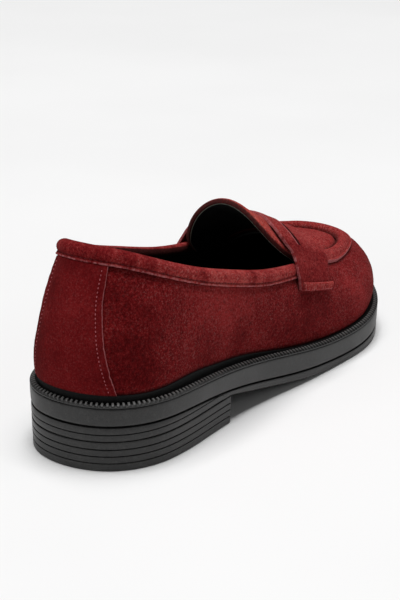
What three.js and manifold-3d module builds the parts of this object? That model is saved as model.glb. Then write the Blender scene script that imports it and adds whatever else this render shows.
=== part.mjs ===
// A right-foot penny loafer, size 38: suede upper, black lining, and a stacked
// rubber sole with a low block heel. Millimetres, +X to the toe, +Y to the inner
// (medial) side, +Z up. The origin is the middle of the heel's flat base.
//
// Every leather piece is cut from one surface, S(u, v): u runs once round the foot
// line (0 at the back of the heel, outer side first), and v runs from the foot
// line (0) up and over to a ridge line above the middle of the foot (1).
import * as THREE from 'three';
import Module from 'manifold-3d';
import { mergeVertices } from 'three/addons/utils/BufferGeometryUtils.js';

// ---- Driving dimensions --------------------------------------------------------

const LENGTH = 275;
const HEEL_BASE_X = 41;
const HEEL_BREAST_X = 81.5;
const HEEL_TAPER = 1.8;
const TOP_PIECE_HEIGHT = 7;
const HEEL_SEAM_HEIGHT = 14;
const GAP = 0.3;

// Edge of the sole seen from above: from the back of the heel, along the outer
// side to the toe, and back along the inner side.
const SOLE_OUTLINE = [
  [0, 0], [6, -21], [22, -34], [45, -38.5], [75, -39], [110, -41],
  [145, -45.5], [175, -47.5], [205, -45.5], [232, -38.5], [256, -25], [270.5, -6],
  [LENGTH, 9], [266, 29], [246, 41.5], [217, 47], [190, 46.5], [160, 41.5],
  [125, 36.5], [95, 35], [70, 36.5], [45, 38], [22, 33.5], [6, 21],
];

// Height of the seat line, the shallow groove under the ribbed rim, along X.
const SEAT_LINE = [[0, 70, 130, 170, 200, 235, LENGTH], [30.5, 27.2, 19.6, 15.3, 15, 17.2, 22.5]];
// Depth of the midsole's lower edge and of the outsole's underside below the seat line.
const MIDSOLE_DEPTH = [[0, 80, 130, LENGTH], [9.1, 9.4, 11, 11]];
const SOLE_DEPTH = [[HEEL_BREAST_X, 95, 125, 160, LENGTH], [12, 13.4, 14.8, 15, 15]];

const RIM_HEIGHT = 2.8;
const RIM_WIDTH = 2.4;
const SHELF_HEIGHT = 0.7;
const WELT_WIDTH = 14;
const UPPER_INSET = [[0, 20, 60, LENGTH], [4.6, 4.9, 5.8, 5.8]];
const UPPER_LIFT = 1;

// Handles of the upper's wall curves, against the foot line's X: how far the wall
// rises and leans out at its foot, and how flat it runs in to the ridge.
const WALL_X = [6, 30, 60, 90, 140, 175, 200, 230, 255, 269];
const WALL_RISE = [WALL_X, [32, 35.5, 41, 38.5, 34.5, 28.5, 22.5, 19, 21.5, 23.5]];
const WALL_LEAN = [WALL_X, [11, 7.5, 8.5, 11, 8.5, 7.7, 7, 11, 8, 9.5]];
const TOP_REACH = [WALL_X, [22, 20.5, 24, 28, 20.5, 24, 27, 32, 33.5, 36]];

// The ridge: where each wall curve meets it, its height and its sideways bend.
const RIDGE_END_X = 228;
const RIDGE_X = [
  [5, 25, 50, 80, 110, 140, 200, 225, 250, 262, 270],
  [46, 56, 63, 84, 111, 140, 194, 210, 221, 225.5, RIDGE_END_X],
];
const RIDGE_Z = [[30, 70, 105, 136, 161, 185, 207, RIDGE_END_X], [125, 116, 106, 92.2, 78, 65.1, 58, 52]];
const RIDGE_Y = [[30, 140, 200, RIDGE_END_X], [0, 0, 0, 1]];

// Height of the foot opening's edge along X.
const TOPLINE = [[8, 22, 37, 64, 90, 118, 148, 175], [100.5, 96, 90.6, 81, 73.3, 65.5, 60, 56]];

// Apron: its two U-shaped lines seen from above (start, front, half width, bluntness).
const APRON_OUTER = { start: 187, front: 250.5, half: 34.2, blunt: 2.1 };
const APRON_INNER = { start: 187, front: 240.5, half: 27.4, blunt: 2.3 };

const SUEDE = 1.6;
const LINING = 0.9;
const STIFFENER = 1.2;
const TOE_PUFF = 0.8;
const VAMP_LINING_DEPTH = 4.4;
const LASTING_MARGIN = 11;
const BINDING_WIDTH = 7.5;
const BINDING_INSIDE = 6.5;
const BINDING_END_X = 151;
const TONGUE_RIM_X = 137.7;
const TONGUE_RIM_SWEEP = 11.5;
const TONGUE_FRONT_X = 183.5;
const APRON_REAR_X = 184.2;
const BAND_REAR_X = 179;
const LINING_SPLIT_X = 185.5;

// Saddle strap: its rear and front edges against v, and its foot.
const STRAP_V = [0.3, 0.38, 0.45, 0.52, 0.6, 0.7, 0.8, 0.9, 1];
const STRAP_REAR = [STRAP_V, [148, 148, 149.5, 150.5, 151, 152.5, 156.5, 160.8, 162.5]];
const STRAP_FRONT = [STRAP_V, [178, 178, 180.5, 184.5, 188.5, 191.5, 195, 198.5, 200]];
const STRAP_THICK = 1.4;
const STRAP_SLOT = { x: 172, halfLength: 24, halfWidth: 4.2, bow: 5 };
const TAB = { rear: 146.6, front: 179.6, low: 0.292, high: 0.35 };

// Back panel: half its width as a share of the foot line, against v.
const PANEL_HALF = [[0, 0.05, 0.14, 0.23, 0.31, 0.39, 0.5], [0.043, 0.04, 0.035, 0.031, 0.029, 0.028, 0.03]];

const U_STEPS = 60;
const NAIL_POINT_Z = 10;
const NAIL_RADIUS = 1.1;
const NAIL_HEAD_RADIUS = 2.4;
const NAIL_PLACES = [[20, 0], [36, 11], [36, -11], [62, 10], [62, -10]];

// ---- Finishes --------------------------------------------------------------------

function finish(color, roughness, metalness = 0) {
  return new THREE.MeshStandardMaterial({ color, roughness, metalness });
}

const suede = finish(0x6e191e, 0.95);
const suedeEdge = finish(0x7c2a30, 0.95);
const liningCloth = finish(0x121214, 0.8);
const rubber = finish(0x3a3a3b, 0.6);
const board = finish(0x9a7b55, 0.9);
const foam = finish(0xd8cfa8, 0.95);
const steel = finish(0x9a9da0, 0.35, 1);
const stiffenerCloth = finish(0xd9d4c8, 0.9);
const corkPaste = finish(0x8d6a42, 0.95);

// ---- Curves ------------------------------------------------------------------------

// A smooth curve through values at knots. A closed one has one knot more than it has
// values, the last being its period. The tangents are relaxed until the curve has an
// even curvature.
function smoothCurve([knots, values], closed = false) {
  const count = values.length;
  const wrap = (index) => (index + count) % count;
  const gap = (index) => knots[index + 1] - knots[index];
  const slope = (index) => (values[wrap(index + 1)] - values[index]) / gap(index);
  const tangents = new Array(count).fill(0);
  for (let sweep = 0; sweep < 40; sweep += 1) {
    for (let i = 0; i < count; i += 1) {
      if (!closed && i === 0) {
        tangents[i] = (3 * slope(0) - tangents[1]) / 2;
      } else if (!closed && i === count - 1) {
        tangents[i] = (3 * slope(count - 2) - tangents[count - 2]) / 2;
      } else {
        const before = wrap(i - 1);
        const pull = gap(i) * slope(before) + gap(before) * slope(i);
        const near = gap(i) * tangents[before] + gap(before) * tangents[wrap(i + 1)];
        tangents[i] = (3 * pull - near) / (2 * (gap(before) + gap(i)));
      }
    }
  }
  const last = knots[knots.length - 1];
  return (where) => {
    const t = closed ? ((where % last) + last) % last : THREE.MathUtils.clamp(where, knots[0], last);
    let i = 0;
    while (i < knots.length - 2 && t >= knots[i + 1]) i += 1;
    const s = (t - knots[i]) / gap(i);
    const end = wrap(i + 1);
    const value = values[i] * (1 + 2 * s) * (1 - s) ** 2 + values[end] * s * s * (3 - 2 * s);
    return value + gap(i) * (tangents[i] * s * (1 - s) ** 2 - tangents[end] * s * s * (1 - s));
  };
}

const seatLine = smoothCurve(SEAT_LINE);
const midsoleDepth = smoothCurve(MIDSOLE_DEPTH);
const soleDepth = smoothCurve(SOLE_DEPTH);
const upperInset = smoothCurve(UPPER_INSET);
const wallRise = smoothCurve(WALL_RISE);
const wallLean = smoothCurve(WALL_LEAN);
const topReach = smoothCurve(TOP_REACH);
const ridgeX = smoothCurve(RIDGE_X);
const ridgeZ = smoothCurve(RIDGE_Z);
const ridgeY = smoothCurve(RIDGE_Y);
const topline = smoothCurve(TOPLINE);
const strapRear = smoothCurve(STRAP_REAR);
const strapFront = smoothCurve(STRAP_FRONT);
const panelHalf = smoothCurve(PANEL_HALF);

function bisect(low, high, isHigh) {
  let [a, b] = [low, high];
  for (let step = 0; step < 40; step += 1) {
    const middle = (a + b) / 2;
    if (isHigh(middle)) b = middle;
    else a = middle;
  }
  return (a + b) / 2;
}

function smoothStep(value, from, to) {
  return THREE.MathUtils.smoothstep(value, from, to);
}

// ---- The sole's edge -------------------------------------------------------------

// The outline by arc length: rim(u) is a point on it, with u from 0 to 1.
function makeRim() {
  const chords = [0];
  SOLE_OUTLINE.forEach(([x, y], i) => {
    const [nextX, nextY] = SOLE_OUTLINE[(i + 1) % SOLE_OUTLINE.length];
    chords.push(chords[i] + Math.hypot(nextX - x, nextY - y));
  });
  const alongX = smoothCurve([chords, SOLE_OUTLINE.map((point) => point[0])], true);
  const alongY = smoothCurve([chords, SOLE_OUTLINE.map((point) => point[1])], true);
  const period = chords[chords.length - 1];
  const steps = 2400;
  const lengths = [0];
  for (let i = 1; i <= steps; i += 1) {
    const a = (period * (i - 1)) / steps;
    const b = (period * i) / steps;
    lengths.push(lengths[i - 1] + Math.hypot(alongX(b) - alongX(a), alongY(b) - alongY(a)));
  }
  return (u) => {
    const target = (((u % 1) + 1) % 1) * lengths[steps];
    let [low, high] = [0, steps];
    while (high - low > 1) {
      const middle = (low + high) >> 1;
      if (lengths[middle] > target) high = middle;
      else low = middle;
    }
    const t = (period * (low + (target - lengths[low]) / (lengths[high] - lengths[low]))) / steps;
    return new THREE.Vector2(alongX(t), alongY(t));
  };
}

const rim = makeRim();

function outward(u) {
  const step = 0.0005;
  const along = rim(u + step).sub(rim(u - step)).normalize();
  return new THREE.Vector2(along.y, -along.x);
}

function insetPoint(u, inset) {
  return rim(u).addScaledVector(outward(u), -inset);
}

const TOE_U = bisect(0.4, 0.6, (u) => rim(u + 1e-4).x < rim(u - 1e-4).x);

// The u of the outline where it passes x, on either side.
function rimAt(x, side) {
  if (side === 'outer') return bisect(0, TOE_U, (u) => rim(u).x > x);
  return bisect(TOE_U, 1, (u) => rim(u).x < x);
}

// ---- The upper's surface ----------------------------------------------------------

function footLine(u) {
  return insetPoint(u, upperInset(rim(u).x));
}

const FOOT_TOE_U = bisect(0.4, 0.6, (u) => footLine(u + 1e-4).x < footLine(u - 1e-4).x);
const FOOT_TOE_X = footLine(FOOT_TOE_U).x;

function footAt(x, side) {
  if (side === 'outer') return bisect(0, FOOT_TOE_U, (u) => footLine(u).x > x);
  return bisect(FOOT_TOE_U, 1, (u) => footLine(u).x < x);
}

function surface(u, v) {
  const foot = footLine(u);
  const out = outward(u);
  const x = ridgeX(foot.x);
  const ridge = new THREE.Vector3(x, ridgeY(x), ridgeZ(x));
  const before = x - 0.5;
  const after = Math.min(x + 0.5, RIDGE_END_X);
  const slope = (ridgeZ(after) - ridgeZ(before)) / (after - before);
  const away = new THREE.Vector2(foot.x - ridge.x, foot.y - ridge.y).normalize();
  const start = new THREE.Vector3(foot.x, foot.y, seatLine(foot.x) + UPPER_LIFT);
  const rise = new THREE.Vector3(out.x * wallLean(foot.x), out.y * wallLean(foot.x), wallRise(foot.x));
  const reach = new THREE.Vector3(away.x, away.y, slope * away.x).multiplyScalar(topReach(foot.x));
  const curve = new THREE.CubicBezierCurve3(start, start.clone().add(rise), ridge.clone().add(reach), ridge);
  return curve.getPoint(v);
}

// The point a distance off the surface, outward when positive.
function offSurface(u, v, distance) {
  const step = 0.003;
  const vIn = Math.min(Math.max(v, step), 1 - step);
  const alongU = surface(u + step, vIn).sub(surface(u - step, vIn));
  const alongV = surface(u, vIn + step).sub(surface(u, vIn - step));
  const normal = alongU.cross(alongV).normalize();
  return surface(u, v).addScaledVector(normal, distance);
}

// ---- Lines on the surface ----------------------------------------------------------

function toplineV(u) {
  return bisect(0.05, 0.95, (v) => {
    const point = surface(u, v);
    return point.z > topline(point.x);
  });
}

// The share of v that covers a length of the wall near v.
function lengthInV(u, v, length) {
  return (length * 0.02) / surface(u, v + 0.01).distanceTo(surface(u, v - 0.01));
}

function apronV(u, { start, front, half, blunt }) {
  return bisect(0.2, 1, (v) => {
    const point = surface(u, v);
    const ahead = Math.max((point.x - start) / (front - start), 0);
    const aside = (point.y - ridgeY(point.x)) / half;
    return ahead ** blunt + aside * aside < 1;
  });
}

// Upper edge of the vamp: the topline at the back, then down under the strap and on
// along the middle of the apron's band.
function vampEdgeV(u) {
  const { x } = footLine(u);
  if (x < BINDING_END_X - 2) return toplineV(u);
  const ahead = smoothStep(x, BINDING_END_X - 2, APRON_INNER.start);
  const apron = (apronV(u, APRON_OUTER) + apronV(u, APRON_INNER)) / 2;
  return toplineV(u) * (1 - ahead) + apron * ahead;
}

// How far the lining lies inside the surface: close behind the edge at the top, and
// deeper below, where the stiffeners lie in front of it.
function liningDepth(u, v, edge) {
  return SUEDE + GAP + (STIFFENER + 3 * GAP) * smoothStep(edge - v, 0.07, 0.15);
}

// ---- Solids ------------------------------------------------------------------------

// A closed body from triangles of points, its faces turned outward.
function closedBody(faces) {
  const sound = faces.filter(([a, b, c]) => {
    const flat = a.distanceTo(b) < 1e-4 || b.distanceTo(c) < 1e-4 || c.distanceTo(a) < 1e-4;
    return !flat;
  });
  const volume = sound.reduce((sum, [a, b, c]) => sum + a.dot(b.clone().cross(c)), 0);
  const positions = sound.flatMap(([a, b, c]) => {
    const corners = volume > 0 ? [a, b, c] : [a, c, b];
    return corners.flatMap((corner) => corner.toArray());
  });
  const geometry = new THREE.BufferGeometry();
  geometry.setAttribute('position', new THREE.Float32BufferAttribute(positions, 3));
  const merged = mergeVertices(geometry, 1e-4);
  merged.computeVertexNormals();
  return merged;
}

function quad(faces, a, b, c, d) {
  faces.push([a, b, c], [a, c, d]);
}

function pointGrid(rows, columns, place) {
  return Array.from({ length: rows }, (_, i) => Array.from({ length: columns }, (__, j) => place(i, j)));
}

// A closed sheet between an outer and an inner grid of points. A folded sheet's last
// row runs to the middle and back along the same points, so it has no edge there.
function sheet(rows, columns, outer, inner, folded = false) {
  const faces = [];
  const front = pointGrid(rows, columns, outer);
  const back = pointGrid(rows, columns, inner);
  for (let i = 0; i < rows - 1; i += 1) {
    for (let j = 0; j < columns - 1; j += 1) {
      quad(faces, front[i][j], front[i + 1][j], front[i + 1][j + 1], front[i][j + 1]);
      quad(faces, back[i][j], back[i][j + 1], back[i + 1][j + 1], back[i + 1][j]);
    }
    const end = columns - 1;
    quad(faces, front[i][0], back[i][0], back[i + 1][0], front[i + 1][0]);
    quad(faces, front[i][end], front[i + 1][end], back[i + 1][end], back[i][end]);
  }
  const ends = folded ? [0] : [0, rows - 1];
  ends.forEach((row) => {
    for (let j = 0; j < columns - 1; j += 1) {
      const edge = [front[row][j], front[row][j + 1], back[row][j + 1], back[row][j]];
      if (row === 0) quad(faces, ...edge);
      else quad(faces, ...edge.reverse());
    }
  });
  return closedBody(faces);
}

// A closed hoop: one section, a ring of points, carried all the way round.
function hoop(steps, section) {
  const faces = [];
  const rings = Array.from({ length: steps }, (_, i) => section(i / steps));
  rings.forEach((ring, i) => {
    const next = rings[(i + 1) % steps];
    ring.forEach((point, j) => {
      const k = (j + 1) % ring.length;
      quad(faces, point, next[j], next[k], ring[k]);
    });
  });
  return closedBody(faces);
}

// Values from one end to the other, closer together near both ends.
function ease(count, from, to) {
  return Array.from({ length: count }, (_, i) => {
    const share = (1 - Math.cos((Math.PI * i) / (count - 1))) / 2;
    return from + (to - from) * share;
  });
}

// Places along u shared by every sheet, so that nested ones have their folds in line.
function sharedColumns(from, to) {
  const first = Math.ceil(from * U_STEPS + 0.3);
  const last = Math.floor(to * U_STEPS - 0.3);
  const inside = Array.from({ length: last - first + 1 }, (_, i) => (first + i) / U_STEPS);
  return [from, ...inside, to];
}

function even(count, from, to) {
  return Array.from({ length: count }, (_, i) => from + ((to - from) * i) / (count - 1));
}

// A slab of the sole between two heights, both given along X. It spans the outline
// from fromX to toX, drawn in by one inset at its top and another at its foot.
function soleSlab({ fromX, toX, inset, footInset = inset, top, bottom, steps = 26 }) {
  const stations = ease(steps, fromX, toX);
  const edge = (x, side, drawnIn) => {
    const u = rimAt(THREE.MathUtils.clamp(x, 0.001, LENGTH), side);
    return insetPoint(u, drawnIn);
  };
  const cut = (x) => (x > 1 && x < LENGTH - 1);
  const ring = (x, drawnIn, height) => ['outer', 'inner'].map((side) => {
    const point = edge(x, side, drawnIn);
    const endX = cut(x) && (x === fromX || x === toX) ? x : point.x;
    return new THREE.Vector3(endX, point.y, height(endX));
  });
  const uppers = stations.map((x) => ring(x, inset, top));
  const lowers = stations.map((x) => ring(x, footInset, bottom));
  const faces = [];
  for (let i = 0; i < steps - 1; i += 1) {
    quad(faces, uppers[i][0], uppers[i + 1][0], uppers[i + 1][1], uppers[i][1]);
    quad(faces, lowers[i][0], lowers[i][1], lowers[i + 1][1], lowers[i + 1][0]);
    quad(faces, uppers[i][0], lowers[i][0], lowers[i + 1][0], uppers[i + 1][0]);
    quad(faces, uppers[i][1], uppers[i + 1][1], lowers[i + 1][1], lowers[i][1]);
  }
  quad(faces, uppers[0][0], uppers[0][1], lowers[0][1], lowers[0][0]);
  const end = steps - 1;
  quad(faces, uppers[end][0], lowers[end][0], lowers[end][1], uppers[end][1]);
  return closedBody(faces);
}

// ---- Joining and cutting -----------------------------------------------------------

const wasm = await Module();
wasm.setup();

function toSolid(geometry) {
  const bare = geometry.clone();
  bare.deleteAttribute('normal');
  bare.deleteAttribute('uv');
  const merged = mergeVertices(bare, 1e-4);
  return new wasm.Manifold(new wasm.Mesh({
    numProp: 3,
    vertProperties: new Float32Array(merged.attributes.position.array),
    triVerts: new Uint32Array(merged.index.array),
  }));
}

function toGeometry(solid) {
  const mesh = solid.getMesh();
  const geometry = new THREE.BufferGeometry();
  geometry.setAttribute('position', new THREE.Float32BufferAttribute(mesh.vertProperties, 3));
  geometry.setIndex(new THREE.Uint32BufferAttribute(mesh.triVerts, 1));
  geometry.computeVertexNormals();
  return geometry;
}

function cutAway(geometry, cutters) {
  const solid = cutters.reduce((rest, cutter) => rest.subtract(toSolid(cutter)), toSolid(geometry));
  return toGeometry(solid);
}

// ---- Assembly ----------------------------------------------------------------------

const loafer = new THREE.Group();
loafer.position.x = -HEEL_BASE_X;

function addPart(name, geometry, material) {
  const mesh = new THREE.Mesh(geometry, material);
  mesh.name = name;
  loafer.add(mesh);
}

function line(level) {
  return (x) => seatLine(x) + level;
}

// ---- Sole --------------------------------------------------------------------------

function weltSection(u) {
  const section = [
    [0, GAP / 2], [0, RIM_HEIGHT], [RIM_WIDTH, RIM_HEIGHT],
    [RIM_WIDTH + 0.6, SHELF_HEIGHT], [WELT_WIDTH, SHELF_HEIGHT], [WELT_WIDTH, GAP / 2],
  ];
  return section.map(([inset, level]) => {
    const point = insetPoint(u, inset);
    return new THREE.Vector3(point.x, point.y, seatLine(point.x) + level);
  });
}

const midsoleFoot = (x) => seatLine(x) - midsoleDepth(x) + GAP / 2;
const outsoleTop = (x) => midsoleFoot(x) - GAP;
const outsoleFoot = (x) => THREE.MathUtils.clamp(seatLine(x) - soleDepth(x), 0, HEEL_SEAM_HEIGHT);
const heelTop = (x) => outsoleFoot(x) - GAP;

function nail([x, y]) {
  const head = seatLine(x) + 4.5;
  const profile = [
    [0, NAIL_POINT_Z],
    [NAIL_RADIUS, NAIL_POINT_Z + 1.5],
    [NAIL_RADIUS, head - 1.2],
    [NAIL_HEAD_RADIUS, head - 0.6],
    [NAIL_HEAD_RADIUS, head],
    [0, head],
  ];
  const geometry = new THREE.LatheGeometry(profile.map(([r, z]) => new THREE.Vector2(r, z)), 10);
  return geometry.rotateX(Math.PI / 2).translate(x, y, 0);
}

// A clear bore for a nail, wider round its head.
function nailBore([x, y]) {
  const head = seatLine(x) + 6;
  const shaft = NAIL_RADIUS + GAP;
  const wide = NAIL_HEAD_RADIUS + GAP;
  const foot = NAIL_POINT_Z - 1;
  const profile = [[0, foot], [shaft, foot], [shaft, head - 3.2], [wide, head - 2.6], [wide, head], [0, head]];
  const geometry = new THREE.LatheGeometry(profile.map(([r, z]) => new THREE.Vector2(r, z)), 10);
  return geometry.rotateX(Math.PI / 2).translate(x, y, 0);
}

function addSole() {
  const bores = NAIL_PLACES.map(nailBore);
  const whole = { fromX: 0, toX: LENGTH };
  addPart('welt', hoop(84, weltSection), rubber);
  const midsole = soleSlab({ ...whole, inset: 0, footInset: 0.4, top: line(-GAP / 2), bottom: midsoleFoot });
  addPart('midsole', cutAway(midsole, bores), rubber);
  const outsole = soleSlab({
    ...whole, inset: 0.4, footInset: 0.9, top: outsoleTop, bottom: outsoleFoot, steps: 34,
  });
  addPart('outsole', cutAway(outsole, bores), rubber);
  const heel = { fromX: 0, toX: HEEL_BREAST_X, steps: 14 };
  const heelBlock = soleSlab({
    ...heel, inset: 0.9, footInset: HEEL_TAPER, top: heelTop, bottom: () => TOP_PIECE_HEIGHT + GAP,
  });
  addPart('heel_block', cutAway(heelBlock, bores), rubber);
  const topPiece = soleSlab({
    ...heel, inset: HEEL_TAPER, footInset: HEEL_TAPER + 0.3, top: () => TOP_PIECE_HEIGHT, bottom: () => 0,
  });
  addPart('heel_top_piece', topPiece, rubber);
  NAIL_PLACES.forEach((place, i) => addPart(`heel_nail_${i + 1}`, nail(place), steel));
}

function addInsoles() {
  const bores = NAIL_PLACES.map(nailBore);
  const boardFoot = UPPER_LIFT + SUEDE + GAP;
  const boardTop = boardFoot + 2;
  const inside = (level, thick, inset, fromX = 0, toX = LENGTH) => soleSlab({
    fromX, toX, inset, top: line(level + thick), bottom: line(level),
  });
  addPart('insole_board', cutAway(inside(boardFoot, 2, 11), bores), board);
  addPart('footbed_foam', inside(boardTop + GAP, 2, 11), foam);
  addPart('sock_liner', inside(boardTop + 2 * GAP + 2, 1, 11), liningCloth);
  addPart('bottom_filler', inside(GAP / 2, boardFoot - GAP / 2 - GAP, 18.4, 156), corkPaste);
  addPart('shank', shank(), steel);
}

// A sprung steel strip through the waist, ridged along its middle.
function shank() {
  const stations = even(12, 62, 153);
  const width = (x) => 6 + 2 * smoothStep(x, 62, 80) - 2 * smoothStep(x, 140, 153);
  const place = (i, j, level) => {
    const across = [-1, -0.35, 0.35, 1][j];
    const x = stations[i];
    const ridge = Math.abs(across) < 0.5 ? 0.6 : 0;
    return new THREE.Vector3(x, across * width(x), seatLine(x) + level + ridge);
  };
  return sheet(12, 4, (i, j) => place(i, j, 1.7), (i, j) => place(i, j, 0.7));
}

// ---- Upper -------------------------------------------------------------------------

// The vamp is one piece of suede all round, closed at the back of the heel. Below the
// foot line its margin is turned in flat over the welt.
function vamp() {
  const columns = sharedColumns(0.0012, 0.9988);
  const marginRows = 1;
  const wallRows = 6;
  const place = (i, j, depth) => {
    const u = columns[i];
    if (j < marginRows) {
      const share = j / marginRows;
      const foot = insetPoint(u, upperInset(rim(u).x) + LASTING_MARGIN * (1 - share) + depth * share);
      return new THREE.Vector3(foot.x, foot.y, seatLine(foot.x) + UPPER_LIFT + depth);
    }
    if (j === marginRows) {
      const foot = insetPoint(u, upperInset(rim(u).x) + depth);
      return new THREE.Vector3(foot.x, foot.y, seatLine(foot.x) + UPPER_LIFT + depth);
    }
    const edge = vampEdgeV(u) - lengthInV(u, 0.4, 1.2);
    const v = (edge * (j - marginRows)) / (wallRows - 1);
    return offSurface(u, v, -depth);
  };
  const rows = marginRows + wallRows;
  return sheet(columns.length, rows, (i, j) => place(i, j, 0), (i, j) => place(i, j, SUEDE));
}

// A sheet that follows the surface along u, between two lines of v, its rows closer
// together towards the upper line.
function wrap({ columns, rows, low, high, outer, inner }) {
  const place = (i, j, depth) => {
    const u = columns[i];
    const share = 1 - (1 - j / (rows - 1)) ** 1.6;
    const v = low(u) * (1 - share) + high(u) * share;
    return offSurface(u, v, depth(u, v));
  };
  return sheet(columns.length, rows, (i, j) => place(i, j, outer), (i, j) => place(i, j, inner));
}

function heelPanel() {
  const binding = (u) => toplineV(u) - lengthInV(u, toplineV(u), BINDING_WIDTH + 0.8);
  const place = (i, j, raised) => {
    const share = j / 7;
    const v = binding(0) * share;
    const u = panelHalf(v) * (i / 4 - 1);
    const here = binding(u) * share;
    const full = raised ? SUEDE * smoothStep(here, -0.04, 0.06) : 0;
    return offSurface(u, here, GAP + full);
  };
  return sheet(9, 8, (i, j) => place(i, j, true), (i, j) => place(i, j, false));
}

// A strip folded over the upper's top edge: down its outside, and in over the lining.
function toplineBinding() {
  const start = footAt(BINDING_END_X, 'outer');
  const end = footAt(BINDING_END_X, 'inner') - 1;
  const columns = sharedColumns(end, start);
  const thick = 1.2;
  const outerFace = GAP + thick;
  const innerFace = -(SUEDE + GAP + LINING + GAP);
  const place = (i, j, isOuter) => {
    const u = columns[i];
    const top = toplineV(u);
    const inV = (length) => lengthInV(u, top, length);
    const section = [
      [-BINDING_WIDTH, outerFace, GAP], [-BINDING_WIDTH / 2, outerFace, GAP], [-1, outerFace, GAP],
      [0.2, outerFace - 0.7, GAP], [0.9, -1.2, -1.2], [0.2, innerFace - 0.7, innerFace],
      [-1, innerFace - thick, innerFace], [-BINDING_INSIDE, innerFace - thick, innerFace],
    ];
    const [length, faceOut, faceIn] = section[j];
    const lowered = !isOuter && length > -1 ? -0.7 : length;
    return offSurface(u, top + inV(lowered), isOuter ? faceOut : faceIn);
  };
  return sheet(columns.length, 8, (i, j) => place(i, j, true), (i, j) => place(i, j, false));
}

// Rows of X from a rear line to the toe, laid over the ridge from side to side.
function toeFan({ rearX, rows, half, edge, outer, inner }) {
  const stations = Array.from({ length: rows }, (_, i) => {
    const share = Math.sin((Math.PI / 2) * (i / (rows - 1)));
    return rearX + (FOOT_TOE_X - rearX) * share;
  });
  const place = (i, j, depth) => {
    const side = j <= half ? 'outer' : 'inner';
    const u = i === rows - 1 ? FOOT_TOE_U : footAt(stations[i], side);
    const share = 1 - Math.abs(j - half) / half;
    const low = edge(u);
    return offSurface(u, low + (1 - low) * share, depth);
  };
  return sheet(rows, 2 * half + 1, (i, j) => place(i, j, outer), (i, j) => place(i, j, inner), true);
}

function apron() {
  const edge = (u) => vampEdgeV(u) + lengthInV(u, 0.5, 0.6);
  return toeFan({ rearX: APRON_REAR_X, rows: 13, half: 5, edge, outer: -0.4, inner: -0.4 - SUEDE });
}

function vampLining() {
  return toeFan({
    rearX: LINING_SPLIT_X, rows: 12, half: 6, edge: () => 0.05,
    outer: -VAMP_LINING_DEPTH, inner: -VAMP_LINING_DEPTH - LINING,
  });
}

// The raised band laid over the seam between the vamp and the apron.
function apronBand() {
  const columns = even(31, footAt(BAND_REAR_X, 'outer'), footAt(BAND_REAR_X, 'inner'));
  const swell = [0.5, 1.2, 1.5, 1.5, 1.2];
  const place = (i, j, raised) => {
    const u = columns[i];
    const share = j / 4;
    const v = apronV(u, APRON_OUTER) * (1 - share) + apronV(u, APRON_INNER) * share;
    return offSurface(u, v, raised ? GAP + swell[j] : GAP);
  };
  return sheet(31, 5, (i, j) => place(i, j, true), (i, j) => place(i, j, false));
}

// The tongue, and its lining under it. It runs from its free rim, over the instep, to
// its end under the strap. Its sides dip behind the upper's top edge.
function tongueSheet(outside, inside) {
  const rows = 9;
  const half = 7;
  const rimLine = (y) => TONGUE_RIM_X + TONGUE_RIM_SWEEP * (Math.abs(y) / 30) ** 6;
  const place = (i, j, distance) => {
    const side = j <= half ? 'outer' : 'inner';
    const across = Math.abs(j - half) / half;
    const edge = (x) => toplineV(footAt(x, side)) - 0.02;
    const vAt = (x) => {
      const low = edge(x);
      return low + (1 - low) * (1 - across);
    };
    const rear = bisect(130, 160, (x) => {
      const point = surface(footAt(x, side), vAt(x));
      return point.x > rimLine(point.y);
    });
    const x = rear + (TONGUE_FRONT_X - rear) * (i / (rows - 1));
    const u = footAt(x, side);
    const v = vAt(x);
    const tuck = 5.4 * (1 - smoothStep(v - edge(x), 0.02, 0.16));
    return offSurface(u, v, distance - tuck);
  };
  return sheet(rows, 2 * half + 1, (i, j) => place(i, j, outside), (i, j) => place(i, j, inside));
}

// How far the strap stands off the surface: it lies on the vamp at its two feet and
// lifts over the binding, the tongue and the apron's band.
function strapLift(v) {
  return GAP + 1.8 * smoothStep(v, 0.295, 0.365) - 1.3 * smoothStep(v, 0.62, 0.8);
}

// The strap's penny slot is a long lens over the ridge.
function saddleStrap() {
  const rows = 7;
  const half = 9;
  const place = (i, j, raised) => {
    const side = j <= half ? 'outer' : 'inner';
    const v = 1 - (1 - STRAP_V[0]) * (Math.abs(j - half) / half);
    const x = strapRear(v) + (strapFront(v) - strapRear(v)) * (i / (rows - 1));
    return offSurface(footAt(x, side), v, strapLift(v) + (raised ? STRAP_THICK : 0));
  };
  const strap = sheet(rows, 2 * half + 1, (i, j) => place(i, j, true), (i, j) => place(i, j, false));
  return cutAway(strap, [slotCutter()]);
}

function slotCutter() {
  const { x, halfLength, halfWidth, bow } = STRAP_SLOT;
  const edge = (y, sign) => {
    const share = 1 - (y / halfLength) ** 2;
    return new THREE.Vector2(x - bow * (1 - share) + sign * halfWidth * share, y);
  };
  const across = even(13, -halfLength, halfLength);
  const front = across.map((y) => edge(y, 1));
  const rear = across.slice(1, -1).reverse().map((y) => edge(y, -1));
  const outline = new THREE.Shape([...front, ...rear]);
  return new THREE.ExtrudeGeometry(outline, { depth: 60, bevelEnabled: false }).translate(0, 0, 40);
}

// The strap's foot is turned under a narrow folded bar on each side.
function strapTab(side) {
  const stations = even(9, TAB.rear, TAB.front);
  const place = (i, j, raised) => {
    const v = TAB.low + ((TAB.high - TAB.low) * j) / 4;
    const swell = raised ? [0.4, 1.3, 1.6, 1.3, 0.4][j] : 0;
    return offSurface(footAt(stations[i], side), v, strapLift(v) + STRAP_THICK + GAP + swell);
  };
  return sheet(9, 5, (i, j) => place(i, j, true), (i, j) => place(i, j, false));
}

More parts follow.
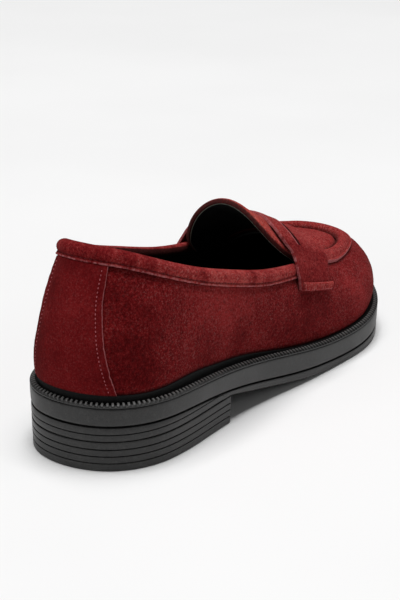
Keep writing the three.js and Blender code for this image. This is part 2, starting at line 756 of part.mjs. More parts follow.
function addUpper() {
  addPart('vamp', vamp(), suede);
  addPart('heel_panel', heelPanel(), suede);
  addPart('topline_binding', toplineBinding(), suede);
  addPart('apron', apron(), suede);
  addPart('apron_band', apronBand(), suedeEdge);
  addPart('saddle_strap', saddleStrap(), suede);
  addPart('strap_tab_outer', strapTab('outer'), suedeEdge);
  addPart('strap_tab_inner', strapTab('inner'), suedeEdge);
  addPart('tongue', tongueSheet(0, -SUEDE), suede);
  addPart('tongue_lining', tongueSheet(-SUEDE - GAP, -SUEDE - GAP - LINING), liningCloth);
}

function addLinings() {
  const split = [footAt(LINING_SPLIT_X - 1, 'outer'), footAt(LINING_SPLIT_X - 1, 'inner') - 1];
  const low = () => 0.05;
  const edge = (u) => vampEdgeV(u) - lengthInV(u, 0.4, 1.8);
  const lining = {
    columns: sharedColumns(split[1], split[0]),
    rows: 6,
    low,
    high: edge,
    outer: (u, v) => -liningDepth(u, v, edge(u)),
    inner: (u, v) => -liningDepth(u, v, edge(u)) - LINING,
  };
  addPart('quarter_lining', wrap(lining), liningCloth);
  addPart('vamp_lining', vampLining(), liningCloth);
  const face = -SUEDE - 1.5 * GAP;
  const stiffener = { outer: () => face, inner: () => face - STIFFENER, low: () => 0.1 };
  const counter = {
    ...stiffener,
    columns: sharedColumns(-0.12, 0.12),
    rows: 5,
    high: (u) => vampEdgeV(u) - 0.17,
  };
  addPart('heel_counter', wrap(counter), stiffenerCloth);
  const puff = {
    ...stiffener,
    inner: () => face - TOE_PUFF,
    columns: sharedColumns(0.41, 0.59),
    rows: 4,
    high: (u) => vampEdgeV(u) * 0.75,
  };
  addPart('toe_puff', wrap(puff), stiffenerCloth);
}

addSole();
addInsoles();
addUpper();
addLinings();

export default loafer;
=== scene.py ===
import math

import bmesh
import bpy
import numpy as np
from mathutils import Matrix, Vector


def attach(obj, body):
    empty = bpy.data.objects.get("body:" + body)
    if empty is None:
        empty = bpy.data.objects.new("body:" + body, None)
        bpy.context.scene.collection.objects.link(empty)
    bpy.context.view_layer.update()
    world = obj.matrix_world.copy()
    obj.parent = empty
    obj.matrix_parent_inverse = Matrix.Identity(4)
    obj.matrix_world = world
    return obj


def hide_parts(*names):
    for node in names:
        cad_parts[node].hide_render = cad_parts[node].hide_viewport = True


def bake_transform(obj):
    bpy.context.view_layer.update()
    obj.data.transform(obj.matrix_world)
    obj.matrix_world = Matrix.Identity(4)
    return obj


# The looks of a right-foot penny loafer: oxblood suede, black lining and a ribbed
# rubber sole. All the shapes below are worked out in millimetres with X counted from
# the back of the heel, and shifted to the frame's origin when a mesh is made.

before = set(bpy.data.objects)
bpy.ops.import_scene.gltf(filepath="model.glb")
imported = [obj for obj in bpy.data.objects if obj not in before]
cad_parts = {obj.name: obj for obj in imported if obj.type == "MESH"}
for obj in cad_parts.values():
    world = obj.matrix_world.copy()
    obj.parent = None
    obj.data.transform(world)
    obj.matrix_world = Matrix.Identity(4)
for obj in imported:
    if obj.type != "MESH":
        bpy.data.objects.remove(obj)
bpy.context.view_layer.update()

MM = 0.001
LENGTH = 275.0
HEEL_BASE_X = 41.0
HEEL_BREAST_X = 81.5
HEEL_SEAM_HEIGHT = 14.0
TOP_PIECE_HEIGHT = 7.0
GAP = 0.3
SUEDE = 1.6
LINING = 0.9

SOLE_OUTLINE = [
    (0, 0), (6, -21), (22, -34), (45, -38.5), (75, -39), (110, -41),
    (145, -46), (175, -49.1), (205, -49.8), (231, -42.4), (254.8, -25.2), (269.6, -5.5),
    (LENGTH, 9), (266, 29), (246, 41.5), (217, 47), (190, 46.5), (160, 41.5),
    (125, 36.5), (95, 35), (70, 36.5), (45, 38), (22, 33.5), (6, 21),
]
SEAT_LINE = [0, 70, 130, 170, 200, 235, LENGTH], [30.5, 27.2, 19.2, 14.5, 14.4, 17, 22.5]
MIDSOLE_DEPTH = [0, 80, 130, 165, 200, 235, LENGTH], [9.1, 9.4, 10.7, 10, 10.2, 10.8, 11]
SOLE_DEPTH = (
    [HEEL_BREAST_X, 95, 125, 160, 200, 235, 255, LENGTH],
    [12, 13.4, 14.8, 15, 14.6, 17, 18.8, 20],
)
UPPER_INSET = (
    [0, 20, 60, 150, 170, 187, 206, 222, 238, LENGTH],
    [4.6, 4.9, 5.8, 5.7, 5.2, 4.9, 4.8, 5.2, 5.8, 5.8],
)
UPPER_LIFT = 1.0
COLLAR_HEIGHT = (
    [0, 10, 24, 55, 75, 98, 113, 126, 140, 155, 175],
    [5.0, 4.4, 3.8, 4.8, 3.8, 3.3, 2.2, 1.3, 0.7, 0.5, 0.4],
)
WALL_X = [6, 30, 60, 90, 140, 175, 200, 230, 255, 269]
WALL_RISE = WALL_X, [32, 35.5, 41, 38.5, 34.5, 28.5, 22.5, 19, 21.5, 23.5]
WALL_LEAN = WALL_X, [11, 7.5, 8.5, 11, 8.5, 7.7, 7, 11, 8, 9.5]
TOP_REACH = WALL_X, [22, 20.5, 24, 28, 20.5, 24, 27, 32, 33.5, 36]
RIDGE_END_X = 228.0
RIDGE_X = (
    [5, 25, 50, 80, 110, 140, 200, 225, 250, 262, 270],
    [46, 56, 63, 84, 111, 140, 194, 210, 221, 225.5, RIDGE_END_X],
)
RIDGE_Z = [30, 70, 105, 136, 161, 185, 207, RIDGE_END_X], [125, 116, 106, 92.2, 78, 65.1, 58, 52]
RIDGE_Y = [30, 140, 200, RIDGE_END_X], [0, 0, 0, 1]
TOPLINE = [8, 22, 37, 64, 90, 118, 148, 175], [102.7, 98.6, 92.2, 81.4, 73.3, 65.5, 60, 56]
APRON_OUTER = dict(start=187, front=250.5, half=34.2, blunt=2.1)
APRON_INNER = dict(start=187, front=240.5, half=27.4, blunt=2.3)
STRAP_V = [0.3, 0.38, 0.45, 0.52, 0.6, 0.7, 0.8, 0.9, 1]
STRAP_REAR = STRAP_V, [145.5, 145, 147, 147.8, 147.4, 149, 155, 160.4, 162.5]
STRAP_FRONT = STRAP_V, [170.5, 171, 176, 181.5, 185, 188.5, 192.5, 197, 198.5]
SLOT_LINE = [0.3, 0.56, 0.62, 0.68, 0.76, 0.86, 1], [156.5, 157.5, 158, 159, 164.5, 173, 177]
SLOT_END_V = 0.558
PANEL_HALF = [0, 0.05, 0.14, 0.23, 0.31, 0.39, 0.5], [0.043, 0.04, 0.035, 0.031, 0.029, 0.028, 0.03]
PANEL_INNER_EXTRA = 0.005
PANEL_STITCH_INSET = 3.4
BINDING_END_X = 151.0
BINDING_WIDTH = 7.7
TONGUE_RIM_X = 137.7
TONGUE_RIM_SWEEP = 11.5
TONGUE_FRONT_X = 183.5
APRON_REAR_X = 184.2
BAND_REAR_X = 176.0
LINING_SPLIT_X = 185.5
LINING_FOOT_V = 0.05
TAB = dict(rear=146.8, front=173.0, low=0.298, high=0.342)
TAB_LENGTH = 31.0
TAB_DEPTH = 3.7
RIB_PITCH = 2.5
TREAD_DEPTH = 1.0
TREAD_PITCH = 6.5
OUTSOLE_GROOVE_HEIGHT = 17.6
LEVEL_GROOVE_END_X = 74.0

# The camera looks at a point of the shoe from behind and to its outer side.
CAMERA_TARGET = ((130.0 - HEEL_BASE_X) * MM, 0.0, 0.040)
CAMERA_AZIMUTH = 31.13
CAMERA_ELEVATION = 19.89
CAMERA_ROLL = 0.73
CAMERA_DISTANCE = 0.80758
CAMERA_LENS = 96
CAMERA_SHIFT = -0.02683, -0.00083


# ---- Curves --------------------------------------------------------------------

def smooth_curve(knots, values, closed=False):
    """A curve of even curvature through values at knots; a closed one has one knot more, its period."""
    knots = np.asarray(knots, float)
    values = np.asarray(values, float)
    gap = np.diff(knots)
    count = len(values)
    following = np.roll(values, -1, 0) if closed else values[1:]
    rise = following - values[:len(following)]
    slope = rise / gap.reshape((-1,) + (1,) * (values.ndim - 1))
    tangent = np.zeros_like(values)
    for _ in range(40):
        for i in range(count):
            if not closed and i == 0:
                tangent[0] = (3 * slope[0] - tangent[1]) / 2
            elif not closed and i == count - 1:
                tangent[-1] = (3 * slope[-1] - tangent[-2]) / 2
            else:
                before, after = (i - 1) % count, (i + 1) % count
                pull = gap[i] * slope[before] + gap[before] * slope[i]
                near = gap[i] * tangent[before] + gap[before] * tangent[after]
                tangent[i] = (3 * pull - near) / (2 * (gap[before] + gap[i]))

    def at(where):
        where = np.asarray(where, float)
        t = np.mod(where, knots[-1]) if closed else np.clip(where, knots[0], knots[-1])
        i = np.clip(np.searchsorted(knots, t, side="right") - 1, 0, len(gap) - 1)
        j = (i + 1) % count
        s, width = (t - knots[i]) / gap[i], gap[i]
        if values.ndim > 1:
            s, width = s[..., None], width[..., None]
        level = values[i] * (1 + 2 * s) * (1 - s) ** 2 + values[j] * s * s * (3 - 2 * s)
        return level + width * (tangent[i] * s * (1 - s) ** 2 - tangent[j] * s * s * (1 - s))

    return at


seat_line = smooth_curve(*SEAT_LINE)
midsole_depth = smooth_curve(*MIDSOLE_DEPTH)
sole_depth = smooth_curve(*SOLE_DEPTH)
upper_inset = smooth_curve(*UPPER_INSET)
collar_height = smooth_curve(*COLLAR_HEIGHT)
wall_rise = smooth_curve(*WALL_RISE)
wall_lean = smooth_curve(*WALL_LEAN)
top_reach = smooth_curve(*TOP_REACH)
ridge_x = smooth_curve(*RIDGE_X)
ridge_z = smooth_curve(*RIDGE_Z)
ridge_y = smooth_curve(*RIDGE_Y)
topline = smooth_curve(*TOPLINE)
strap_rear = smooth_curve(*STRAP_REAR)
strap_front = smooth_curve(*STRAP_FRONT)
slot_line = smooth_curve(*SLOT_LINE)
panel_half = smooth_curve(*PANEL_HALF)


def smooth_step(value, start, end):
    t = np.clip((value - start) / (end - start), 0, 1)
    return t * t * (3 - 2 * t)


def bisect(low, high, is_high, steps=30):
    """Arrays of values between low and high where is_high turns true."""
    low, high = np.array(low, float), np.array(high, float)
    for _ in range(steps):
        middle = (low + high) / 2
        found = is_high(middle)
        high = np.where(found, middle, high)
        low = np.where(found, low, middle)
    return (low + high) / 2


def waves(points, size, seed, octaves=3):
    """Smooth noise, about -1 to 1, at points, with features of a size in millimetres."""
    chance = np.random.default_rng(seed)
    points = np.asarray(points, float)
    total = np.zeros(points.shape[:-1])
    for octave in range(octaves):
        for _ in range(7):
            direction = chance.normal(size=points.shape[-1])
            turns = 2 * math.pi * 2 ** octave * chance.uniform(0.6, 1.3)
            direction *= turns / (size * np.linalg.norm(direction))
            total += np.sin(points @ direction + chance.uniform(0, 6.28)) / 2 ** octave
    return total / 4.5


# ---- The sole's edge and the upper's surface ------------------------------------

OUTLINE = np.array(SOLE_OUTLINE, float)
CHORDS = np.r_[0, np.cumsum(np.linalg.norm(np.roll(OUTLINE, -1, 0) - OUTLINE, axis=1))]
outline_curve = smooth_curve(CHORDS, OUTLINE, closed=True)
OUTLINE_T = np.linspace(0, CHORDS[-1], 2401)
OUTLINE_POINTS = outline_curve(np.r_[OUTLINE_T[:-1], 0.0])
OUTLINE_LENGTHS = np.r_[0, np.cumsum(np.linalg.norm(np.diff(OUTLINE_POINTS, axis=0), axis=1))]
PERIMETER = OUTLINE_LENGTHS[-1]


def rim(u):
    return outline_curve(np.interp(np.mod(u, 1) * PERIMETER, OUTLINE_LENGTHS, OUTLINE_T))


def outward(u):
    along = rim(u + 5e-4) - rim(u - 5e-4)
    along /= np.linalg.norm(along, axis=-1, keepdims=True)
    return np.stack([along[..., 1], -along[..., 0]], -1)


def inset_point(u, inset):
    u = np.asarray(u, float)
    return rim(u) - outward(u) * np.asarray(inset, float)[..., None]


def foot_line(u):
    return inset_point(u, upper_inset(rim(np.asarray(u, float))[..., 0]))


def foot_x(u):
    return foot_line(u)[..., 0]


def surface(u, v):
    """The upper's surface: u runs round the foot line and v from there up to the ridge."""
    u, v = np.broadcast_arrays(np.asarray(u, float), np.asarray(v, float))
    foot, out = foot_line(u), outward(u)
    x = foot[..., 0]
    top_x = ridge_x(x)
    ridge = np.stack([top_x, ridge_y(top_x), ridge_z(top_x)], -1)
    before, after = top_x - 0.5, np.minimum(top_x + 0.5, RIDGE_END_X)
    slope = (ridge_z(after) - ridge_z(before)) / (after - before)
    away = foot - ridge[..., :2]
    away /= np.linalg.norm(away, axis=-1, keepdims=True)
    start = np.concatenate([foot, (seat_line(x) + UPPER_LIFT)[..., None]], -1)
    rise = np.concatenate([out * wall_lean(x)[..., None], wall_rise(x)[..., None]], -1)
    reach = np.stack([away[..., 0], away[..., 1], slope * away[..., 0]], -1) * top_reach(x)[..., None]
    v = v[..., None]
    lower = start * (1 - v) ** 3 + 3 * (start + rise) * v * (1 - v) ** 2
    return lower + 3 * (ridge + reach) * v * v * (1 - v) + ridge * v ** 3


def normal(u, v):
    step = 0.003
    inside = np.clip(v, step, 1 - step)
    along_u = surface(u + step, inside) - surface(u - step, inside)
    along_v = surface(u, inside + step) - surface(u, inside - step)
    across = np.cross(along_u, along_v)
    return across / np.linalg.norm(across, axis=-1, keepdims=True)


def off_surface(u, v, distance):
    u, v, distance = np.broadcast_arrays(*(np.asarray(a, float) for a in (u, v, distance)))
    return surface(u, v) + normal(u, v) * distance[..., None]


# ---- Lines on the surface, kept as tables along u --------------------------------

U_TABLE = np.linspace(0, 1, 2401)
FOOT_X = foot_x(U_TABLE)
TOE_INDEX = int(np.argmax(FOOT_X))
TOE_U = U_TABLE[TOE_INDEX]
TOE_X = FOOT_X[TOE_INDEX]


def foot_at(x, outer):
    """The u where the foot line passes x, on the outer or the inner side."""
    outside = np.interp(x, FOOT_X[: TOE_INDEX + 1], U_TABLE[: TOE_INDEX + 1])
    inside = np.interp(x, FOOT_X[:TOE_INDEX - 1:-1], U_TABLE[:TOE_INDEX - 1:-1])
    return np.where(outer, outside, inside)


def table(values):
    return lambda u: np.interp(np.mod(u, 1), U_TABLE, values)


def above_topline(v):
    points = surface(U_TABLE, v)
    return points[..., 2] > topline(points[..., 0])


def within_apron(shape):
    def test(v):
        points = surface(U_TABLE, v)
        ahead = np.maximum((points[..., 0] - shape["start"]) / (shape["front"] - shape["start"]), 0)
        aside = (points[..., 1] - ridge_y(points[..., 0])) / shape["half"]
        return ahead ** shape["blunt"] + aside ** 2 < 1
    return test


topline_v = table(bisect(np.full(2401, 0.05), np.full(2401, 0.95), above_topline))
apron_outer_v = table(bisect(np.full(2401, 0.2), np.ones(2401), within_apron(APRON_OUTER)))
apron_inner_v = table(bisect(np.full(2401, 0.2), np.ones(2401), within_apron(APRON_INNER)))


def vamp_edge_v(u):
    ahead = smooth_step(foot_x(u), BINDING_END_X - 2, APRON_INNER["start"])
    apron = (apron_outer_v(u) + apron_inner_v(u)) / 2
    return topline_v(u) * (1 - ahead) + apron * ahead


def length_in_v(u, v, length):
    """The share of v that covers a length of the wall near v."""
    return length * 0.02 / np.linalg.norm(surface(u, v + 0.01) - surface(u, v - 0.01), axis=-1)


def over_collar(u, v):
    """How far above the welt's collar a point lies, in millimetres."""
    return v / length_in_v(u, 0.03, 1.0) - collar_height(foot_x(u))


def station(u):
    """Places along the sole's edge in millimetres, for noise that varies along it only."""
    return np.stack([u * PERIMETER, 0 * u], -1)


# ---- Meshes ----------------------------------------------------------------------

def edged(count, zone):
    """Shares from 0 to 1 with extra ones close to both ends, within a zone's share of them."""
    near = zone * np.array([0, 0.05, 0.14, 0.28, 0.5, 0.75])
    return np.concatenate([near, np.linspace(zone, 1 - zone, count), 1 - near[::-1]])


def rounded(distance, radius):
    """Rises from 0 to 1 over a quarter round as the distance from an edge grows."""
    return np.sqrt(1 - (1 - np.clip(distance / radius, 0, 1)) ** 2)


# Lighter or darker places, partly pile brushed differently and partly painted highlight and painted shade: X,
# distance from the middle, height, spread, how much.
NAP_AND_PAINTED_LIGHT_PATCHES = [
    (75, 35, 68, 15, 0.75), (102, 37, 58, 13, 0.55), (55, 34, 62, 13, 0.5), (8, 3, 76, 14, 0.45),
    (205, 39, 32, 15, 0.3), (180, 24, 62, 16, 0.35), (12, 22, 52, 15, -0.8), (22, 29, 47, 13, -0.6),
    (92, 37, 40, 9, -0.5), (12, 8, 98, 22, -0.75), (154, 42, 29, 15, -0.6), (146, 40, 43, 10, -0.35),
    (60, 35, 38, 10, -0.3), (128, 38, 35, 11, -0.3), (12, 20, 76, 12, -0.45), (135, 38, 62, 10, 0.6),
    (222, 42, 34, 20, 0.2), (30, 26, 70, 22, -0.15), (84, 36, 58, 16, 0.45), (190, 46, 40, 16, 0.4),
]


def nap_and_painted_light(points):
    """How light the suede is at points, about -1 to 1: its own patchy tone, plus painted highlight and
    painted shade.
    """
    total = 0.18 * waves(points, 17, 91, 3)
    aside = np.abs(points[:, 1])
    for x, y, z, spread, much in NAP_AND_PAINTED_LIGHT_PATCHES:
        away = (points[:, 0] - x) ** 2 + (aside - y) ** 2 + (points[:, 2] - z) ** 2
        total = total + much * np.exp(-away / spread ** 2)
    return total


def make_mesh(name, points, faces, material, body, values, sharp):
    """A closed mesh from points in millimetres, riding on a body, with values kept per point."""
    points = np.asarray(points, float)
    mesh = bpy.data.meshes.new(name)
    shifted = (points - [HEEL_BASE_X, 0, 0]) * MM
    mesh.from_pydata(shifted.tolist(), [], [list(map(int, f)) for f in faces])
    values = dict(values or {})
    # Suede pieces get a per-point tone: their own patchy tone plus painted highlight and painted shade.
    if material.name.startswith("suede"):
        values["nap_and_painted_light"] = nap_and_painted_light(points) + values.get("nap_and_painted_light", 0)
    for key, value in values.items():
        attribute = mesh.attributes.new(key, "FLOAT", "POINT")
        attribute.data.foreach_set("value", np.asarray(value, np.float32).ravel())
    clean = bmesh.new()
    clean.from_mesh(mesh)
    bmesh.ops.remove_doubles(clean, verts=clean.verts, dist=2e-6)
    bmesh.ops.recalc_face_normals(clean, faces=clean.faces)
    clean.to_mesh(mesh)
    clean.free()
    mesh.shade_smooth()
    mesh.set_sharp_from_angle(angle=math.radians(sharp))
    made = bpy.data.objects.new(name, mesh)
    bpy.context.scene.collection.objects.link(made)
    made.data.materials.append(material)
    if body:
        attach(made, body)
    return made


def quads(index):
    """Quads over a grid of vertex numbers."""
    return np.stack([index[:-1, :-1], index[1:, :-1], index[1:, 1:], index[:-1, 1:]], -1).reshape(-1, 4)


def grid_index(rows, columns, first=0, wrap=False):
    """Vertex numbers of a grid; a wrapped one repeats its first row at its end."""
    index = first + np.arange(rows * columns).reshape(rows, columns)
    return np.vstack([index, index[:1]]) if wrap else index


def strip_quads(a, b):
    return np.stack([a[:-1], a[1:], b[1:], b[:-1]], -1)


def sheet(
    name, outer, inner, material, body="shoe", wrap=False, folded=False,
    cut_edge_and_highlight=0.0, shade=0.0, back_shade=0.0, lift=0.0, sharp=50,
):
    """A closed sheet between two grids of points. A wrapped one closes on itself along
    its rows; a folded one's last row lies on itself. raw tells where the leather's cut
    edge shows and where a highlight is painted, shade where shade is painted in, lift where the suede is
    lighter, partly its pile and partly painted highlight and shade."""
    rows, columns = outer.shape[:2]
    size = rows * columns
    index = grid_index(rows, columns, 0, wrap)
    front = quads(index)
    back = quads(index + size)[:, ::-1]
    sides = [strip_quads(index[:, 0] + size, index[:, 0]), strip_quads(index[:, -1], index[:, -1] + size)]
    border = np.zeros((rows, columns))
    border[:, [0, -1]] = 1
    if not wrap:
        border[0] = 1
        sides.append(strip_quads(index[0], index[0] + size))
    if not wrap and not folded:
        border[-1] = 1
        sides.append(strip_quads(index[-1] + size, index[-1]))
    points = np.concatenate([outer.reshape(-1, 3), inner.reshape(-1, 3)])
    values = {}
    for key, value, behind in (("cut_edge_and_highlight", cut_edge_and_highlight, 0), ("shade", shade, back_shade), ("nap_and_painted_light", lift, -9)):
        ahead = value + np.zeros((rows, columns))
        values[key] = np.concatenate([ahead.ravel(), np.maximum(ahead * border, behind).ravel()])
    faces = np.concatenate([front, back, *sides])
    return make_mesh(name, points, faces, material, body, values, sharp)


def tube(name, rings, material, slot, body="shoe", wrap=False, cut_edge_and_highlight=0.0, shade=0.0, lift=0.0, sharp=50):
    """A closed tube through rings of points (stations, ring, 3), with flat ends."""
    stations, count = rings.shape[:2]
    index = grid_index(stations, count, 0, wrap)
    index = np.hstack([index, index[:, :1]])
    faces = quads(index).tolist()
    if not wrap:
        faces += [index[0, :-1].tolist(), index[-1, :-1][::-1].tolist()]
    values = {}
    for key, value in (("cut_edge_and_highlight", cut_edge_and_highlight), ("shade", shade), ("nap_and_painted_light", lift)):
        values[key] = (value + np.zeros((stations, count))).ravel()
    return make_mesh(name, rings.reshape(-1, 3), faces, material, body, values, sharp)


def stitches(name, line, normals, material, pitch=2.3, length=1.5, radius=0.24, body="shoe", lift=0.05):
    """A row of stitches: small sunk beads of thread along a line of points."""
    lengths = np.r_[0, np.cumsum(np.linalg.norm(np.diff(line, axis=0), axis=1))]
    middles = np.arange(pitch * 0.6, lengths[-1] - pitch * 0.4, pitch)

    def at(where, what):
        return np.stack([np.interp(where, lengths, what[:, k]) for k in range(3)], -1)

    along = np.linspace(0, 1, 7)
    around = np.linspace(0, 2 * math.pi, 8, endpoint=False)
    points, faces = [], []
    chance = np.random.default_rng(len(name))
    for middle in middles:
        reach = length * chance.uniform(0.42, 0.54)
        spine = at(middle + (along * 2 - 1) * reach, line)
        up = at(np.full(7, middle), normals)
        up /= np.linalg.norm(up, axis=-1, keepdims=True)
        way = spine[-1] - spine[0]
        way /= np.linalg.norm(way)
        side = np.cross(way, up[0]) + up[0] * chance.normal(0, 0.05)
        thick = radius * np.sin(math.pi * np.clip(along, 0.06, 0.94)) ** 0.5
        sunk = lift - radius * 1.6 * np.abs(along * 2 - 1) ** 3
        first = len(points)
        for k in range(7):
            centre = spine[k] + up[k] * sunk[k]
            for angle in around:
                points.append(centre + (side * math.cos(angle) + up[k] * math.sin(angle)) * thick[k])
        for k in range(6):
            for m in range(8):
                a = first + 8 * k + m
                b = first + 8 * k + (m + 1) % 8
                faces.append([a, b, b + 8, a + 8])
        faces.append([first + m for m in range(8)][::-1])
        faces.append([first + 48 + m for m in range(8)])
    return make_mesh(name, points, faces, material, body, None, 60)


# ---- Materials -------------------------------------------------------------------

class Nodes:
    """A material's node tree, with short ways to add nodes and wire them."""

    def __init__(self, name):
        self.material = bpy.data.materials.new(name)
        self.material.use_nodes = True
        self.tree = self.material.node_tree
        self.shader = self.tree.nodes["Principled BSDF"]
        self.coords = self.tree.nodes.new("ShaderNodeTexCoord").outputs["Object"]

    def wire(self, socket, value):
        if isinstance(value, bpy.types.NodeSocket):
            self.tree.links.new(value, socket)
        else:
            socket.default_value = value

    def noise(self, size_mm, detail=4.0, rough=0.6, distortion=0.0, stretch=None):
        made = self.tree.nodes.new("ShaderNodeTexNoise")
        coords = self.coords
        if stretch:
            mapping = self.tree.nodes.new("ShaderNodeMapping")
            mapping.inputs["Scale"].default_value = stretch
            self.wire(mapping.inputs["Vector"], coords)
            coords = mapping.outputs["Vector"]
        self.wire(made.inputs["Vector"], coords)
        made.inputs["Scale"].default_value = 1 / (size_mm * MM)
        made.inputs["Detail"].default_value = detail
        made.inputs["Roughness"].default_value = rough
        made.inputs["Distortion"].default_value = distortion
        return made.outputs["Fac"]

    def cells(self, size_mm):
        made = self.tree.nodes.new("ShaderNodeTexVoronoi")
        self.wire(made.inputs["Vector"], self.coords)
        made.inputs["Scale"].default_value = 1 / (size_mm * MM)
        return made.outputs["Distance"]

    def attribute(self, name):
        made = self.tree.nodes.new("ShaderNodeAttribute")
        made.attribute_name = name
        return made.outputs["Fac"]

    def remap(self, value, from_low, from_high, low=0.0, high=1.0):
        made = self.tree.nodes.new("ShaderNodeMapRange")
        made.interpolation_type = "SMOOTHSTEP"
        for socket, number in zip(made.inputs[:5], (value, from_low, from_high, low, high)):
            self.wire(socket, number)
        return made.outputs["Result"]

    def math(self, operation, a, b):
        made = self.tree.nodes.new("ShaderNodeMath")
        made.operation = operation
        self.wire(made.inputs[0], a)
        self.wire(made.inputs[1], b)
        return made.outputs["Value"]

    def mix(self, share, a, b, blend="MIX"):
        made = self.tree.nodes.new("ShaderNodeMix")
        made.data_type = "RGBA"
        made.blend_type = blend
        self.wire(made.inputs[0], share)
        self.wire(made.inputs[6], a if isinstance(a, bpy.types.NodeSocket) else (*a, 1))
        self.wire(made.inputs[7], b if isinstance(b, bpy.types.NodeSocket) else (*b, 1))
        return made.outputs[2]

    def bump(self, height, depth_mm, strength=1.0, under=None):
        made = self.tree.nodes.new("ShaderNodeBump")
        made.inputs["Strength"].default_value = strength
        made.inputs["Distance"].default_value = depth_mm * MM
        self.wire(made.inputs["Height"], height)
        if under is not None:
            self.wire(made.inputs["Normal"], under)
        return made.outputs["Normal"]

    def finish(self, colour, roughness, bump, **settings):
        self.wire(self.shader.inputs["Base Color"], colour)
        self.wire(self.shader.inputs["Roughness"], roughness)
        if bump is not None:
            self.wire(self.shader.inputs["Normal"], bump)
        for key, value in settings.items():
            self.shader.inputs[key.replace("_", " ")].default_value = value
        return self.material


def suede_material(name, deep, middle, light, raw_light, fleck_and_glint, grainy=1.0):
    """Brushed suede: broad patches where the pile lies differently, a fine grain with dark flecks and pale
    ones that are partly painted glints, painted highlight and shade from a per-point value, another colour
    where the leather's cut edge shows, and painted shade."""
    n = Nodes(name)
    patches = n.noise(24, 3, 0.5, 0.3)
    strokes = n.noise(6, 4, 0.65, 0.4)
    grain = n.noise(1.5, 5, 0.9)
    flecks = n.noise(0.9, 3, 0.85)
    sway = n.math("MULTIPLY", n.math("SUBTRACT", patches, 0.5), 1.3)
    sway = n.math("ADD", sway, n.math("MULTIPLY", n.math("SUBTRACT", strokes, 0.5), 1.1))
    # The per-point value adds lighter and darker places, partly painted highlight and painted shade.
    level = n.math("ADD", sway, n.attribute("nap_and_painted_light"))
    colour = n.mix(n.remap(level, -1, 0.1), deep, middle)
    colour = n.mix(n.remap(level, 0, 1.1), colour, light)
    colour = n.mix(n.remap(grain, 0.36, 0.51, 0.8 * grainy, 0), colour, tuple(0.4 * c for c in deep))
    pale_enough = n.remap(level, -0.9, 0.2, 0.5 * grainy, 0.8 * grainy)
    colour = n.mix(n.math("MULTIPLY", n.remap(grain, 0.5, 0.66), pale_enough), colour, light)
    # Pale flecks: partly pale fibres, partly painted glints of fibres catching the light, more of them where
    # the suede is lighter.
    pale_enough = n.remap(level, -0.9, 0.2, 0.06 * grainy, 0.4 * grainy)
    colour = n.mix(n.math("MULTIPLY", n.remap(flecks, 0.5, 0.66), pale_enough), colour, fleck_and_glint)
    colour = n.mix(n.remap(flecks, 0.3, 0.46, 0.6 * grainy, 0), colour, tuple(0.25 * c for c in deep))
    torn = n.math("MULTIPLY", n.noise(1.6, 3, 0.8), 1.2)
    colour = n.mix(n.remap(n.math("ADD", n.attribute("cut_edge_and_highlight"), torn), 1.0, 1.85), colour, raw_light)
    # Painted shade: where the shade value is high, the colour goes near black.
    colour = n.mix(n.math("MULTIPLY", n.attribute("shade"), 0.9), colour, (0.004, 0.0015, 0.0015))
    bump = n.bump(strokes, 0.3, 0.35)
    bump = n.bump(grain, 0.35, 0.7, bump)
    bump = n.bump(flecks, 0.15, 0.8, bump)
    rough = n.remap(grain, 0.2, 0.8, 0.86, 1.0)
    return n.finish(
        colour, rough, bump, Specular_IOR_Level=0.02, Sheen_Weight=0.06,
        Sheen_Roughness=0.5, Sheen_Tint=(1.0, 0.35, 0.33, 1),
    )


def thread_material(name, pale, dark):
    n = Nodes(name)
    twist = n.noise(0.5, 2, 0.6, 0, (1, 1, 3))
    colour = n.mix(n.remap(twist, 0.35, 0.65), dark, pale)
    rough = n.remap(twist, 0.3, 0.7, 0.6, 0.8)
    return n.finish(colour, rough, n.bump(twist, 0.1, 0.5), Specular_IOR_Level=0.1)


def rubber_material(name, dark, light, satin=0.42):
    """Moulded rubber: a faint mottle, fine pores, duller patches of wear, a painted highlight on the ribs'
    crests and painted shade in their gaps.
    """
    n = Nodes(name)
    cloud = n.noise(18, 4, 0.6, 0.4)
    dust = n.noise(2.6, 5, 0.8)
    pores = n.noise(0.7, 3, 0.7)
    colour = n.mix(n.remap(cloud, 0.3, 0.7), dark, light)
    colour = n.mix(n.remap(dust, 0.48, 0.66, 0, 0.55), colour, tuple(2.1 * c for c in light))
    colour = n.mix(n.remap(pores, 0.34, 0.5, 0.6, 0), colour, tuple(0.4 * c for c in dark))
    rough = n.remap(cloud, 0.3, 0.7, satin - 0.05, satin + 0.08)
    rough = n.math("ADD", rough, n.remap(dust, 0.4, 0.8, 0, 0.14))
    # A painted highlight: the ribs' crests are painted lighter.
    colour = n.mix(n.math("MULTIPLY", n.attribute("cut_edge_and_highlight"), 0.8), colour, tuple(4.5 * c for c in light))
    # Painted shade: the rib gaps, the channel and the collar go near black, and rougher so they shine less.
    colour = n.mix(n.math("MULTIPLY", n.attribute("shade"), 0.96), colour, (0.0008, 0.0008, 0.0008))
    rough = n.math("ADD", rough, n.attribute("shade"))
    bump = n.bump(dust, 0.08, 0.3)
    bump = n.bump(pores, 0.05, 0.4, bump)
    return n.finish(colour, rough, bump, Specular_IOR_Level=0.4)


